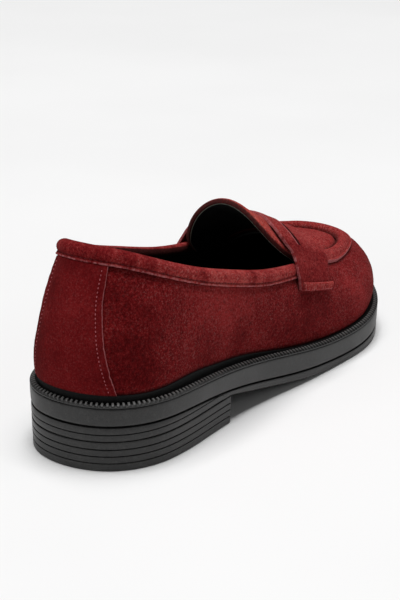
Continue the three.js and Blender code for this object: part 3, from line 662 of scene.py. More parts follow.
def lining_material(name, dark, light, cloth=False):
    """Near-black lining: pebbled leather, or cloth with a woven rise and fall."""
    n = Nodes(name)
    grain = n.cells(0.8) if not cloth else n.noise(0.6, 2, 0.5, 0, (1, 1, 2.5))
    cloud = n.noise(15, 3, 0.6)
    colour = n.mix(n.remap(cloud, 0.35, 0.7), dark, light)
    colour = n.mix(n.remap(grain, 0.1, 0.5, 0.4, 0), colour, tuple(1.7 * c for c in light))
    colour = n.mix(n.remap(n.attribute("cut_edge_and_highlight"), 0.3, 0.9), colour, (0.20, 0.21, 0.17))
    rough = n.remap(cloud, 0.3, 0.7, 0.55, 0.72)
    return n.finish(colour, rough, n.bump(grain, 0.12, 0.5), Specular_IOR_Level=0.35)


def plain_material(name, dark, light, size_mm, rough, metallic=0.0, stretch=None, depth=0.1):
    """A matt or metal finish for a hidden piece: two tones in a grain, and a bump."""
    n = Nodes(name)
    grain = n.noise(size_mm, 4, 0.6, 0.2, stretch)
    colour = n.mix(n.remap(grain, 0.32, 0.68), dark, light)
    roughness = n.remap(grain, 0.3, 0.7, rough - 0.08, min(rough + 0.08, 1))
    return n.finish(colour, roughness, n.bump(grain, depth, 0.5), Metallic=metallic)


SUEDE_MAIN = suede_material(
    "suede", deep=(0.082, 0.0026, 0.0036), middle=(0.145, 0.0056, 0.0068), light=(0.26, 0.018, 0.019),
    raw_light=(0.33, 0.085, 0.095), fleck_and_glint=(0.34, 0.12, 0.115),
)
SUEDE_PANEL = suede_material(
    "suede_panel", deep=(0.08, 0.0026, 0.0036), middle=(0.135, 0.0056, 0.0068), light=(0.24, 0.018, 0.019),
    raw_light=(0.33, 0.1, 0.105), fleck_and_glint=(0.3, 0.1, 0.1), grainy=0.45,
)
# A lighter copy of the main suede for the upward-facing pieces: a painted highlight for the light from above.
SUEDE_PAINTED_LIT = suede_material(
    "suede_painted_lit", deep=(0.145, 0.006, 0.0078), middle=(0.265, 0.0195, 0.02), light=(0.41, 0.055, 0.049),
    raw_light=(0.38, 0.125, 0.13), fleck_and_glint=(0.5, 0.23, 0.21),
)
# A still lighter copy for the tongue, a painted highlight where it faces up; its cut edge has its own dark
# colour.
SUEDE_TONGUE_PAINTED_LIT = suede_material(
    "suede_tongue_painted_lit", deep=(0.2, 0.015, 0.014), middle=(0.36, 0.038, 0.03), light=(0.53, 0.09, 0.065),
    raw_light=(0.1, 0.03, 0.03), fleck_and_glint=(0.5, 0.27, 0.25),
)
THREAD = thread_material("thread", (0.46, 0.13, 0.14), (0.26, 0.05, 0.06))
THREAD_DARK = thread_material("thread_dark", (0.13, 0.018, 0.02), (0.06, 0.006, 0.008))
RUBBER = rubber_material("rubber", (0.0145, 0.014, 0.014), (0.027, 0.0265, 0.026))
LINING_LEATHER = lining_material("lining_leather", (0.004, 0.0045, 0.0045), (0.009, 0.0095, 0.009))
LINING_CLOTH = lining_material("lining_cloth", (0.004, 0.0045, 0.0045), (0.009, 0.0095, 0.009), True)
STEEL = plain_material("steel", (0.35, 0.35, 0.36), (0.6, 0.6, 0.61), 3, 0.35, 1.0, (1, 14, 14), 0.03)
BOARD = plain_material("board", (0.2, 0.12, 0.065), (0.36, 0.24, 0.14), 1.4, 0.85)
FOAM = plain_material("foam", (0.5, 0.45, 0.3), (0.68, 0.62, 0.44), 0.7, 0.92, depth=0.2)
FILLER = plain_material("cork_paste", (0.12, 0.065, 0.03), (0.36, 0.22, 0.12), 2.2, 0.9, depth=0.3)
STIFFENER = plain_material("stiffener", (0.55, 0.5, 0.42), (0.72, 0.68, 0.6), 1.0, 0.88)


# ---- Upper -----------------------------------------------------------------------

def soft_relief(points, rise):
    """The upper's slight unevenness, fading out towards the sole."""
    return (0.32 * waves(points, 34, 5, 2) + 0.08 * waves(points, 7, 9, 2)) * rise


def under_binding(u, v):
    """How far below the binding's lower edge a point lies, in millimetres."""
    top = topline_v(u)
    return (top - v) / length_in_v(u, top, 1.0) - BINDING_WIDTH


def add_vamp():
    u = np.linspace(0, 1, 700, endpoint=False)[:, None]
    margin = np.array([11.0, 5.0, 1.0])
    share = np.linspace(0, 1, 90)[None, :] ** 1.1
    edge = vamp_edge_v(u) - length_in_v(u, 0.4, 1.2)
    v = edge * share
    wall = surface(u, v)
    from_foot = v / length_in_v(u, 0.05, 1.0)
    near_binding = 1 - smooth_step(wall[..., 0], BINDING_END_X - 8, BINDING_END_X)
    below = under_binding(u, v)
    groove = -0.5 * np.exp(-(((below - 1.0) / 1.5) ** 2)) * near_binding
    round_foot = 0.8 * (1 - rounded(from_foot, 2.4))
    outer = off_surface(u, v, soft_relief(wall, smooth_step(v, 0.08, 0.24)) + groove - round_foot)
    inner = off_surface(u, v, -SUEDE)
    # Painted shade: the vamp darkens beside the band's outer edge and below the binding, and goes near black
    # above the welt's collar, on its turned-in margin and over its back.
    outside_band = (apron_outer_v(u) - v) / length_in_v(u, 0.5, 1.0)
    by_band = smooth_step(foot_x(u), 176, 184) * np.exp(-((outside_band / 0.9) ** 2))
    by_collar = 1 - smooth_step(from_foot - collar_height(foot_x(u)), 0, 2.2)
    by_binding = near_binding * np.exp(-((below / 0.8) ** 2))
    shade = np.maximum(np.maximum(by_collar, 0.6 * by_binding), 0.6 * by_band)

    def turned_in(depth):
        point = inset_point(u + 0 * margin, upper_inset(rim(u)[..., 0]) + margin + depth)
        height = seat_line(point[..., 0]) + UPPER_LIFT + depth
        return np.concatenate([point, height[..., None]], -1)

    outer = np.concatenate([turned_in(0), outer], 1)
    inner = np.concatenate([turned_in(SUEDE), inner], 1)
    inner[:, 3] = inner[:, 2] * 0.4 + inner[:, 4] * 0.6
    shade = np.concatenate([np.ones((len(u), len(margin))), shade], 1)
    vamp = sheet("vamp_suede", outer, inner, SUEDE_MAIN, wrap=True, shade=shade, back_shade=1)
    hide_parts("vamp")


def binding_low(u):
    return topline_v(u) - length_in_v(u, topline_v(u), BINDING_WIDTH + 0.6)


def panel_height(u, v, from_side):
    """How far the heel panel stands off the surface: it follows the vamp's unevenness."""
    points = surface(u, v)
    shown = smooth_step(over_collar(u, v), -0.4, 0.6)
    shown = shown * (0.25 + 0.75 * smooth_step(under_binding(u, v), -0.6, 0.8))
    thick = 1.1 * (0.6 + 0.4 * rounded(from_side, 0.6)) * shown
    groove = 0.3 * np.exp(-(((from_side - PANEL_STITCH_INSET) / 0.6) ** 2))
    return 0.1 + soft_relief(points, smooth_step(v, 0.08, 0.24)) + (thick - groove * shown)


def add_heel_panel():
    across = edged(44, 0.03) * 2 - 1
    up = edged(80, 0.02)
    a, b = np.meshgrid(across, up, indexing="ij")
    v = (binding_low(0.0) + length_in_v(0.0, 0.5, 3.0)) * b
    ragged = 0.0003 * waves(np.stack([v * 95, np.sign(a)], -1), 2.6, 3, 3)
    u = (panel_half(v) + ragged + PANEL_INNER_EXTRA * (a < 0)) * a
    v = v * binding_low(u) / binding_low(0.0)
    from_side = (1 - np.abs(a)) * panel_half(v) * PERIMETER
    outer = off_surface(u, v, panel_height(u, v, from_side))
    inner = off_surface(u, v, 0 * u - 0.3)
    cut_edge_and_highlight = np.clip(1.4 - from_side / 0.6, 0, 1)
    # Painted shade: the panel darkens to near black down by the welt's collar.
    shade = 1 - smooth_step(over_collar(u, v), -0.3, 1.4)
    panel = sheet("heel_panel_suede", outer, inner, SUEDE_PANEL, cut_edge_and_highlight=cut_edge_and_highlight, shade=shade)
    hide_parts("heel_panel")
    for side, name in ((-1, "heel_stitches_inner"), (1, "heel_stitches_outer")):
        v = binding_low(0.0) * np.linspace(0.075, 1, 120)
        u = side * (panel_half(v) + PANEL_INNER_EXTRA * (side < 0) - PANEL_STITCH_INSET / PERIMETER)
        v = v * binding_low(u) / binding_low(0.0)
        clear = over_collar(u, v) > 0.9
        u, v = u[clear], v[clear]
        line = off_surface(u, v, panel_height(u, v, PANEL_STITCH_INSET) + 0.12)
        stitches(name, line, normal(u, v), THREAD, pitch=1.9, length=1.2, radius=0.25)


# The binding's section: how far along the wall from the topline, and how far off it.
BINDING_SECTION = [
    (-7.7, 0.2), (-7.8, 0.7), (-7.7, 1.15), (-7.25, 1.35), (-6.8, 1.2), (-6.4, 0.95), (-6.0, 1.15),
    (-5.4, 1.75), (-4.7, 2.25), (-3.8, 2.6), (-2.7, 2.6), (-1.7, 2.3), (-0.8, 1.7), (-0.1, 0.9), (0.35, 0.0),
    (0.5, -0.9), (0.4, -1.9), (0.0, -2.8), (-0.7, -3.5), (-1.6, -4.0), (-2.6, -4.15), (-3.4, -4.0),
    (-3.7, -3.6), (-3.4, -3.2), (-2.2, -3.15), (-1.2, -2.9), (-0.8, -1.6), (-0.8, -0.6), (-1.2, 0.2),
    (-3.0, 0.25), (-5.5, 0.25),
]


def flattening(u):
    """How much flatter the binding lies, from its full roll at the heel to its ends."""
    return smooth_step(foot_x(u), 112, 146)


def add_binding():
    start = float(foot_at(BINDING_END_X, True))
    end = float(foot_at(BINDING_END_X, False)) - 1
    u = np.linspace(end, start, 560)[:, None]
    section = np.array(BINDING_SECTION)
    length, offset = section[:, 0][None, :], section[:, 1][None, :]
    flatter = flattening(u)
    top = topline_v(u)
    place = station(u)
    outside = offset > 0.5
    puffy = 1 + 0.10 * waves(place, 26, 11, 2) + 0.07 * waves(place, 6, 12, 2)
    ragged = 0.13 * waves(place, 2.6, 13, 3) * (length < -7)
    raised = np.where(outside, 0.5 + (offset - 0.5) * puffy * (1 - 0.4 * flatter), offset)
    v = top + length_in_v(u, top, 1.0) * (length * (1 - 0.06 * flatter) + ragged)
    points = off_surface(u, v, raised)
    torn = 0.8 + 0.4 * waves(place, 3, 14, 3)
    cut_edge_and_highlight = ((length < -7) & outside) * np.clip(torn, 0, 1)
    # Painted shade: a dark line in the crease by the stitches, and the binding's inside, down in the shoe,
    # near black.
    in_crease = 0.5 * np.exp(-(((length + 6.35) / 0.35) ** 2)) * outside
    shade = in_crease + smooth_step(-offset, 1.6, 2.8) + 0 * u
    lift = 0.45 * waves(place, 11, 15, 3) - 0.25 + 0 * length
    values = dict(cut_edge_and_highlight=cut_edge_and_highlight, shade=shade, lift=lift)
    binding = tube("topline_binding_suede", points, SUEDE_PAINTED_LIT, "suede", sharp=70, **values)
    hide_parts("topline_binding")
    u = np.linspace(end + 0.002, start - 0.002, 900)
    top = topline_v(u)
    v = top - length_in_v(u, top, 1.0) * 6.4 * (1 - 0.06 * flattening(u))
    line = off_surface(u, v, 0.5 + 0.5 * (1 - 0.4 * flattening(u)))
    stitches("binding_stitches", line, normal(u, v), THREAD_DARK, pitch=2.4, length=1.5, radius=0.24)


def fan(stations, shares, low):
    """Grids of u and v for a piece laid over the ridge from side to side, row by row of X."""
    x = np.asarray(stations)[:, None]
    across = np.asarray(shares)[None, :]
    u = foot_at(x + 0 * across, (across <= 0.5) & (x > 0))
    u[-1] = TOE_U
    share = 1 - np.abs(across * 2 - 1)
    start = low(u)
    return u, start + (1 - start) * share


def toe_stations(rear, count):
    return rear + (TOE_X - rear) * np.sin(np.linspace(0, math.pi / 2, count))


def apron_low(u):
    return vamp_edge_v(u) + length_in_v(u, 0.5, 0.6)


def add_apron():
    u, v = fan(toe_stations(APRON_REAR_X - 1, 90), edged(60, 0.04), apron_low)
    points = surface(u, v)
    band = (v - apron_inner_v(u)) / length_in_v(u, np.minimum(v, 0.985), 1.0)
    gutter = -1.5 * np.exp(-((np.maximum(band, 0) / 1.5) ** 2))
    sunk = -0.75 - 0.3 * smooth_step(band, 5, 16)
    relief = 0.22 * waves(points, 24, 21, 2) + 0.1 * waves(points, 6, 22, 2)
    outer = off_surface(u, v, sunk + gutter + relief * smooth_step(band, 0, 4))
    inner = off_surface(u, v, sunk - 1.0 - SUEDE)
    # Painted shade: a dark gutter along the band's inner edge, a painted shadow ahead of the strap's front
    # edge, and the back near black.
    ahead = foot_x(u) - strap_front(v)
    by_band = 0.85 * np.exp(-((np.maximum(band - 0.2, 0) / 0.9) ** 2))
    by_strap = 0.75 * np.exp(-((np.maximum(ahead, 0) / 7) ** 4))
    shade = np.minimum(by_band + by_strap, 0.9)
    apron = sheet("apron_suede", outer, inner, SUEDE_PAINTED_LIT, folded=True, shade=shade, back_shade=1)
    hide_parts("apron")


# The band's section from its outer edge to its inner one: share of its width, height.
BAND_SECTION = (
    [0, 0.02, 0.05, 0.11, 0.16, 0.2, 0.27, 0.38, 0.5, 0.62, 0.74, 0.84, 0.91, 0.96, 1.0],
    [0.7, 1.45, 1.85, 1.9, 1.5, 1.25, 1.5, 1.95, 2.3, 2.4, 2.25, 1.9, 1.35, 0.4, -1.0],
)


def add_band():
    start, end = float(foot_at(BAND_REAR_X, True)), float(foot_at(BAND_REAR_X, False))
    u = np.linspace(start, end, 400)[:, None]
    share = edged(34, 0.08)[None, :]
    outer_v, inner_v = apron_outer_v(u), apron_inner_v(u)
    ragged = 0.02 * waves(station(u), 3.2, 31, 3) * (1 - smooth_step(share, 0, 0.12))
    v = outer_v + (inner_v - outer_v) * (share + ragged)
    points = surface(u, v)
    height = np.interp(share, *BAND_SECTION) + 0.14 * waves(points, 14, 32, 2) * smooth_step(share, 0.05, 0.3)
    outer = off_surface(u, v, GAP + height)
    inner = off_surface(u, v, np.minimum(height - 0.5, 0) + 0.05)
    cut_edge_and_highlight = np.clip(1.5 - share / 0.085, 0, 1)
    # Painted shade in the band's groove and along its inner edge, where it dips to the apron.
    shade = 0.3 * np.exp(-(((share - 0.195) / 0.035) ** 2)) + 0.6 * smooth_step(share, 0.95, 1)
    band = sheet("apron_band_suede", outer, inner, SUEDE_PAINTED_LIT, cut_edge_and_highlight=cut_edge_and_highlight, shade=shade)
    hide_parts("apron_band")


def strap_lift(v):
    return GAP + 1.8 * smooth_step(v, 0.295, 0.365) - 1.3 * smooth_step(v, 0.62, 0.8)


def strap_half(across, front):
    """u and v of half the strap: from its rear edge to the slot's line, or on to its front edge."""
    side = (across <= 0.5)[None, :]
    v = 1 - (1 - STRAP_V[0]) * np.abs(across * 2 - 1)
    widest = 1.0 + 1.4 * smooth_step(v, 0.64, 0.86)
    half_width = widest * np.sqrt(np.clip((v - SLOT_END_V) / 0.05, 0, 1))
    edge = slot_line(v) + (half_width if front else -half_width)
    share = edged(16, 0.1)[:, None]
    low, high = (edge, strap_front(v)) if front else (strap_rear(v), edge)
    x = low[None, :] + (high - low)[None, :] * share
    u = foot_at(x, side)
    return u, np.broadcast_to(v[None, :], u.shape), share


def add_strap():
    across = np.r_[np.linspace(0, 0.04, 7)[:-1], np.linspace(0.04, 0.96, 150), np.linspace(0.96, 1, 7)[1:]]
    halves = []
    # the rear half hugs the tongue and its lip stands up; the front half's lip lies in its shadow
    for front in (False, True):
        u, v, share = strap_half(across, front)
        point = surface(u, v)
        width = np.linalg.norm(point[-1] - point[0], axis=-1)[None, :]
        from_free = (1 - share if front else share) * width
        from_slot = (share if front else 1 - share) * width
        open_slot = v > SLOT_END_V + 0.002
        lip = np.where(open_slot, rounded(from_slot, 0.8), 1.0)
        near_slot = smooth_step(v, SLOT_END_V - 0.06, SLOT_END_V)
        swell = (0.0 if front else 0.45) * np.exp(-((from_slot / 2.0) ** 2)) * near_slot
        hug = 0.0 if front else -0.9 * np.exp(-from_free / 2.5) * smooth_step(v, 0.5, 0.58)
        crease = 0.14 * waves(point, 9, 41, 2) + 0.2 * waves(point, 26, 42, 2)
        top = 1.6 * (0.5 + 0.5 * np.minimum(rounded(from_free, 0.7), lip))
        height = strap_lift(v) + top + crease * smooth_step(from_free, 0, 3) + swell + hug
        ragged = (0.2 * waves(point, 2.4, 43, 3) * (from_free < 0.4))[..., None] * [1, 0, 0]
        outer = off_surface(u, v, height) + ragged
        inner = off_surface(u, v, strap_lift(v) + 0.05 + hug + np.minimum(swell, 0)) + ragged
        ragged_edge_and_highlight = 0.8 + 0.25 * waves(point, 2.4, 44, 3)
        # The rear half's lip along the slot is painted light: partly its cut edge, partly a painted
        # highlight.
        slot_edge = 1.1 * open_slot * np.clip(1.6 - from_slot / 1.5, 0, 1)
        cut_edge_and_highlight = np.maximum(ragged_edge_and_highlight * np.clip(1.3 - from_free / 0.6, 0, 1), slot_edge)
        # Painted shadow: the front half beside the slot goes near black.
        shade = 0.97 * (1 - smooth_step(from_slot, 0.9, 2.3)) * open_slot if front else 0 * cut_edge_and_highlight
        cut_edge_and_highlight = np.where(shade > 0.3, 0, cut_edge_and_highlight)
        lift = 0 * cut_edge_and_highlight - 0.1 - 0.75 * (1 - smooth_step(v, 0.52, 0.66))
        halves.append((outer, inner, cut_edge_and_highlight, shade, lift))
    strap = join_halves("saddle_strap_suede", *halves)
    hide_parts("saddle_strap")


def join_halves(name, rear, fore):
    """The strap's two halves as one closed mesh, parted only along the slot."""
    points, cut_edge_and_highlight, shade, lift, faces, starts = [], [], [], [], [], []
    for outer, inner, ragged_edge_and_highlight, dark, pale in (rear, fore):
        starts.append(sum(len(p) for p in points))
        points += [outer.reshape(-1, 3), inner.reshape(-1, 3)]
        cut_edge_and_highlight += [ragged_edge_and_highlight.ravel(), np.where(ragged_edge_and_highlight > 0.55, ragged_edge_and_highlight, 0).ravel()]
        shade += [dark.ravel(), dark.ravel()]
        lift += [pale.ravel(), pale.ravel()]
    for k, half in enumerate((rear, fore)):
        rows, columns = half[0].shape[:2]
        size = rows * columns
        index = grid_index(rows, columns, starts[k])
        faces.append(quads(index))
        faces.append(quads(index + size)[:, ::-1])
        faces.append(strip_quads(index[:, 0] + size, index[:, 0]))
        faces.append(strip_quads(index[:, -1], index[:, -1] + size))
        free = index[0] if k == 0 else index[-1]
        faces.append(strip_quads(free, free + size))
    a = starts[0] + (rows - 1) * columns + np.arange(columns)
    b = starts[1] + np.arange(columns)
    apart = np.linalg.norm(surface_gap(rear, fore), axis=-1) > 0.05
    for k in np.flatnonzero(apart[:-1] | apart[1:]):
        for edge in (a, b):
            faces.append(np.array([[edge[k], edge[k + 1], edge[k + 1] + size, edge[k] + size]]))
    everything = np.concatenate(points)
    for p, q in zip(a[~apart], b[~apart]):
        everything[[p, q]] = (everything[p] + everything[q]) / 2
        everything[[p + size, q + size]] = (everything[p + size] + everything[q + size]) / 2
    values = {"cut_edge_and_highlight": np.concatenate(cut_edge_and_highlight), "shade": np.concatenate(shade), "nap_and_painted_light": np.concatenate(lift)}
    return make_mesh(name, everything, np.concatenate(faces), SUEDE_PAINTED_LIT, "shoe", values, 50)


def surface_gap(rear, fore):
    """How far apart the halves lie along X and Y where they meet."""
    return (rear[0][-1] - fore[0][0])[..., :2]


def add_tab(outer_side, name, node):
    a, b = np.meshgrid(edged(50, 0.03), edged(16, 0.1), indexing="ij")
    x = TAB["rear"] + (TAB["front"] - TAB["rear"]) * a
    v = TAB["low"] + (TAB["high"] - TAB["low"]) * b + 0.012 * a ** 1.5
    x = x + 1.6 * (b - 0.5) * smooth_step(a, 0.9, 1) + 0.8 * (1 - b) * (1 - smooth_step(a, 0, 0.08))
    u = foot_at(x, outer_side)
    point = surface(u, v)
    from_end = np.minimum(a, 1 - a) * TAB_LENGTH
    from_low = b * TAB_DEPTH
    from_high = (1 - b) * TAB_DEPTH
    across = rounded(from_high, 1.5) * (0.5 + 0.5 * rounded(from_low, 0.8))
    pillow = 1.0 + 1.5 * across * (0.65 + 0.35 * rounded(from_end, 1.3))
    wrinkle = 0.2 * waves(point, 6, 51, 2)
    ragged = (0.25 * waves(point, 2.2, 52, 3) * (from_low < 0.3))[..., None] * [0, 0, 1]
    outer = off_surface(u, v, strap_lift(v) + pillow + wrinkle) + ragged
    inner = off_surface(u, v, np.minimum(strap_lift(v) - 0.2, 0.25 + 2.0 * b)) + ragged
    ragged_edge_and_highlight = 0.75 + 0.45 * waves(point, 2.6, 53, 3)
    cut_edge_and_highlight = np.maximum(ragged_edge_and_highlight * np.clip(1.3 - from_low / 0.9, 0, 1), 0.5 * np.clip(1 - from_end / 0.5, 0, 1))
    # A painted highlight: the tab's top is painted lighter, more so towards its front.
    lift = 0.2 + 0.6 * a * smooth_step(from_low, 0.8, 2.2)
    tab = sheet(name, outer, inner, SUEDE_PAINTED_LIT, cut_edge_and_highlight=cut_edge_and_highlight, lift=lift)
    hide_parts(node)


def tongue_grid(rows, across):
    """u, v, how far each point is from the tongue's rim and how far its sides tuck in."""
    side = across <= 0.5
    half = np.abs(across * 2 - 1)

    def at(x):
        u = foot_at(x, side)
        low = topline_v(u) - 0.02
        return u, low + (1 - low) * (1 - half), low

    def past_rim(x):
        u, v, _ = at(x)
        point = surface(u, v)
        return point[..., 0] > TONGUE_RIM_X + TONGUE_RIM_SWEEP * (np.abs(point[..., 1]) / 30) ** 6

    rear = bisect(np.full(across.shape, 130.0), np.full(across.shape, 160.0), past_rim)[None, :]
    x = rear + (TONGUE_FRONT_X - rear) * rows[:, None]
    u, v, low = at(x)
    tuck = 4.2 * (1 - smooth_step(v - low, -0.02, 0.06))
    return u, v, x - rear, tuck


def add_tongue():
    rows = np.r_[np.array([0, 0.3, 0.7, 1.2, 1.8, 2.5, 3.3]) / 46, np.linspace(4.2 / 46, 1, 44)]
    columns = np.r_[np.linspace(0, 0.5, 61), np.linspace(0.5, 1, 61)[1:]]
    u, v, from_rim, tuck = tongue_grid(rows, columns)
    point = surface(u, v)
    roll = 0.75 * rounded(from_rim, 1.7) - 0.75
    bead = 0.35 * np.exp(-(((from_rim - 2.2) / 1.5) ** 2))
    relief = 0.12 * waves(point, 12, 61, 2) * smooth_step(from_rim, 2, 8)
    outer = off_surface(u, v, roll + bead + relief - tuck)
    under = -SUEDE - 1.0 * (1 - smooth_step(from_rim, 1.2, 3.0))
    inner = off_surface(u, v, under - tuck)
    cut_edge_and_highlight = np.clip(1.2 - from_rim / 0.6, 0, 1)
    # Painted shade darkens the tongue's rim, over its own dark cut edge, and its back near black.
    shade = 0.6 * np.clip(1 - from_rim / 0.6, 0, 1)
    tongue = sheet(
        "tongue_suede", outer, inner, SUEDE_TONGUE_PAINTED_LIT, body=None,
        cut_edge_and_highlight=cut_edge_and_highlight, shade=shade, back_shade=0.85, sharp=70,
    )
    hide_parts("tongue")
    lining_rows = np.r_[np.array([0.9, 1.1, 1.4, 1.9, 2.6, 3.4]) / 46, np.linspace(5 / 46, 1, 40)]
    u, v, from_rim, tuck = tongue_grid(lining_rows, columns)
    thin = SUEDE + GAP + 0.75 * (1 - smooth_step(from_rim, 1.0, 3.4))
    outer = off_surface(u, v, -thin - tuck)
    inner = off_surface(u, v, -thin - LINING * (0.45 + 0.55 * smooth_step(from_rim, 1, 6)) - tuck)
    cut_edge_and_highlight = (from_rim < 1.02) * 1.0
    lining = sheet(
        "tongue_lining_leather", outer, inner, LINING_LEATHER, body=None, cut_edge_and_highlight=cut_edge_and_highlight,
    )
    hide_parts("tongue_lining")
    for piece in (tongue, lining):
        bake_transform(piece)


def lining_depth(v, edge):
    return SUEDE + GAP + (1.2 + 3 * GAP) * smooth_step(edge - v, 0.07, 0.15)


def lining_foot(u):
    return LINING_FOOT_V + 0 * u


def add_linings():
    start = float(foot_at(LINING_SPLIT_X - 1, True))
    end = float(foot_at(LINING_SPLIT_X - 1, False)) - 1
    u = np.linspace(end, start, 360)[:, None]
    edge = vamp_edge_v(u) - length_in_v(u, 0.4, 1.8)
    share = 1 - (1 - np.linspace(0, 1, 40)[None, :]) ** 1.6
    v = LINING_FOOT_V * (1 - share) + edge * share
    depth = lining_depth(v, edge)
    relief = 0.15 * waves(surface(u, v), 22, 71, 2)
    outer = off_surface(u, v, -depth)
    inner = off_surface(u, v, -depth - LINING + np.minimum(relief, 0.1))
    quarter = sheet("quarter_lining_leather", outer, inner, LINING_LEATHER)
    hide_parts("quarter_lining")
    u, v = fan(toe_stations(LINING_SPLIT_X, 40), np.linspace(0, 1, 61), lining_foot)
    outer = off_surface(u, v, -4.4)
    inner = off_surface(u, v, -5.3)
    vamp = sheet("vamp_lining_cloth", outer, inner, LINING_CLOTH, folded=True)
    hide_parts("vamp_lining")


# ---- Sole ------------------------------------------------------------------------

def ring_points(u, inset, height):
    """Points round the sole at an inset and at a height given along X."""
    point = inset_point(u + 0 * inset, inset)
    return np.concatenate([point, height(point[..., 0])[..., None]], -1)


def rings_of(u, sections):
    """Rings of points round the sole, one for each (inset, height at X)."""
    return np.stack([ring_points(u, inset + 0 * u, height) for inset, height in sections], 1)


def add_welt():
    """The rim's top slopes up and in, crossed by ribs that are deepest at its inner edge;
    past a channel it ends in a thin collar standing against the upper."""
    ribs = int(round(PERIMETER / RIB_PITCH))
    steps = 10
    phase = np.arange(ribs * steps) % steps / steps
    u = (np.arange(ribs * steps) / (ribs * steps))[:, None]
    tooth = smooth_step(np.abs(phase - 0.5), 0.2, 0.29)[:, None]
    # inset, height above the seat line, how deep a rib's gap is cut there, shade in the gap
    section = np.array([
        (0.55, 0.1, 0, 0), (0.12, 0.22, 0, 0), (0, 0.4, 0, 0), (0, 0.7, 0, 0), (0.02, 0.9, 0.08, 0),
        (0.12, 1.1, 0.25, 0.1), (0.4, 1.4, 0.4, 0.25), (0.8, 1.7, 0.6, 0.4), (1.3, 1.95, 0.85, 0.6),
        (1.9, 2.2, 1.15, 0.85), (2.35, 2.25, 1.3, 0.9), (2.6, 1.9, 1.2, 0.9), (2.75, 1.1, 0.5, 1),
        (2.9, 0.4, 0, 1), (3.1, 0.3, 0, 1),
    ])
    inset, level, cut, dark = (section[:, k][None, :] for k in range(4))
    forward = smooth_step(rim(u)[..., 0], 60, 120)
    low_part = inset < 1.5
    cut = cut * tooth * np.where(low_part, 0.6 + 1.3 * forward, 1)
    dark = np.where(low_part, dark * (0.7 + 1.2 * forward), dark)
    point = inset_point(u + 0 * inset, inset + 0.5 * cut * (inset < 1))
    rib_rings = np.concatenate([point, (seat_line(point[..., 0]) + level - cut)[..., None]], -1)
    top = collar_height(foot_x(u)) * length_in_v(u, 0.03, 1.0)
    share = np.array([0, 0.3, 0.7, 0.93, 1, 1, 0.6, 0.1])[None, :]
    off = np.array([0.75, 0.7, 0.6, 0.55, 0.35, 0.1, 0.1, 0.1])[None, :]
    collar = off_surface(u, top * share, off)
    middle = inset_point(u + np.zeros((1, 2)), 14.0)
    middle = np.concatenate([middle, (seat_line(middle[..., 0]) + [0.3, 0.1])[..., None]], -1)
    rings = np.concatenate([rib_rings, collar, middle], 1)
    # Painted shadow in the rib gaps, and near-black painted shade in the channel and on the collar.
    low_gap = np.where(inset > 2, 1.0, dark * tooth)
    in_gap = np.where(level + 0 * u < 1.2, low_gap, np.minimum(dark, 0.95) * tooth)
    by_collar = np.array([1, 1, 1, 0.93, 0.95, 1, 1, 1, 1, 1])[None, :] + 0 * u
    shade = np.concatenate([in_gap, by_collar], 1)
    # A painted highlight on the ribs' crests.
    crest = np.where((inset > 0.3) & (inset < 2.4), 1 - tooth, 0.0) * smooth_step(inset, 0.2, 1.3)
    ragged_edge_and_highlight = np.concatenate([crest, 0 * by_collar], 1)
    welt = tube("welt_rubber", rings, RUBBER, "rubber", wrap=True, cut_edge_and_highlight=ragged_edge_and_highlight, shade=shade, sharp=55)
    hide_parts("welt")


def heel_rings(sections, count=420):
    """Rings round the heel only, cut square at its breast, with the corners there softened."""
    outer_u = U_TABLE[:1100]
    inner_u = U_TABLE[::-1][:1100]
    outer_end = float(np.interp(HEEL_BREAST_X, rim(outer_u)[..., 0], outer_u))
    inner_end = float(np.interp(HEEL_BREAST_X, rim(inner_u)[..., 0], inner_u)) - 1
    rings = rings_of(np.linspace(inner_end, outer_end, count), sections)
    rings[[0, -1], :, 0] = HEEL_BREAST_X - 0.25
    from_breast = np.minimum(np.arange(count), np.arange(count)[::-1])[:, None]
    pull = 1 - rounded(from_breast * PERIMETER * (outer_end - inner_end) / count, 0.9)
    rings[..., 1] -= np.sign(rings[..., 1]) * pull * 0.5
    return rings


def close_slab(name, rings, wrap, material=RUBBER, sharp=45):
    """Closes a slab's ring of side points with a top and a foot made of cross strips."""
    count, levels = rings.shape[:2]
    half = count // 2
    index = grid_index(count, levels)
    faces = [quads(grid_index(count, levels, 0, wrap))]
    for ring in (index[:, 0], index[:, -1]):
        if wrap:
            near, far = ring[: half + 1], np.r_[ring[0], ring[:half - 1:-1]]
        else:
            near, far = ring[:half], ring[::-1][:half]
        faces.append(strip_quads(near, far))
    if not wrap:
        faces.append(strip_quads(index[0], index[-1]))
    return make_mesh(name, rings.reshape(-1, 3), np.concatenate(faces), material, "shoe", None, sharp)


def line(level):
    return lambda x: seat_line(x) + level


def midsole_foot(x):
    return seat_line(x) - midsole_depth(x)


def outsole_foot(x):
    return np.clip(seat_line(x) - sole_depth(x), 0, HEEL_SEAM_HEIGHT)


def between(top, bottom, share):
    return lambda x: top(x) * (1 - share) + bottom(x) * share


def flat(height):
    return lambda x: height + 0 * x


def layer_side(top, bottom, inset_top, inset_foot, groove, bulge=0.0):
    """Side sections of one layer, drawn in at its top and at the groove under its foot."""
    sections = [(inset_top + groove * 0.7, top)]
    shares = [0.015, 0.05, 0.12, 0.25, 0.4, 0.55, 0.7, 0.82, 0.9, 0.955]
    edge = [0.35, 0.1, 0.02, 0, 0, 0, 0, 0.01, 0.06, 0.25]
    for share, draw in zip(shares, edge):
        inset = inset_top + (inset_foot - inset_top) * share
        inset += draw * groove - bulge * math.sin(math.pi * share)
        sections.append((inset, between(top, bottom, share)))
    sections.append((inset_foot + groove, between(top, bottom, 0.985)))
    sections.append((inset_foot + groove * 1.1, bottom))
    return sections


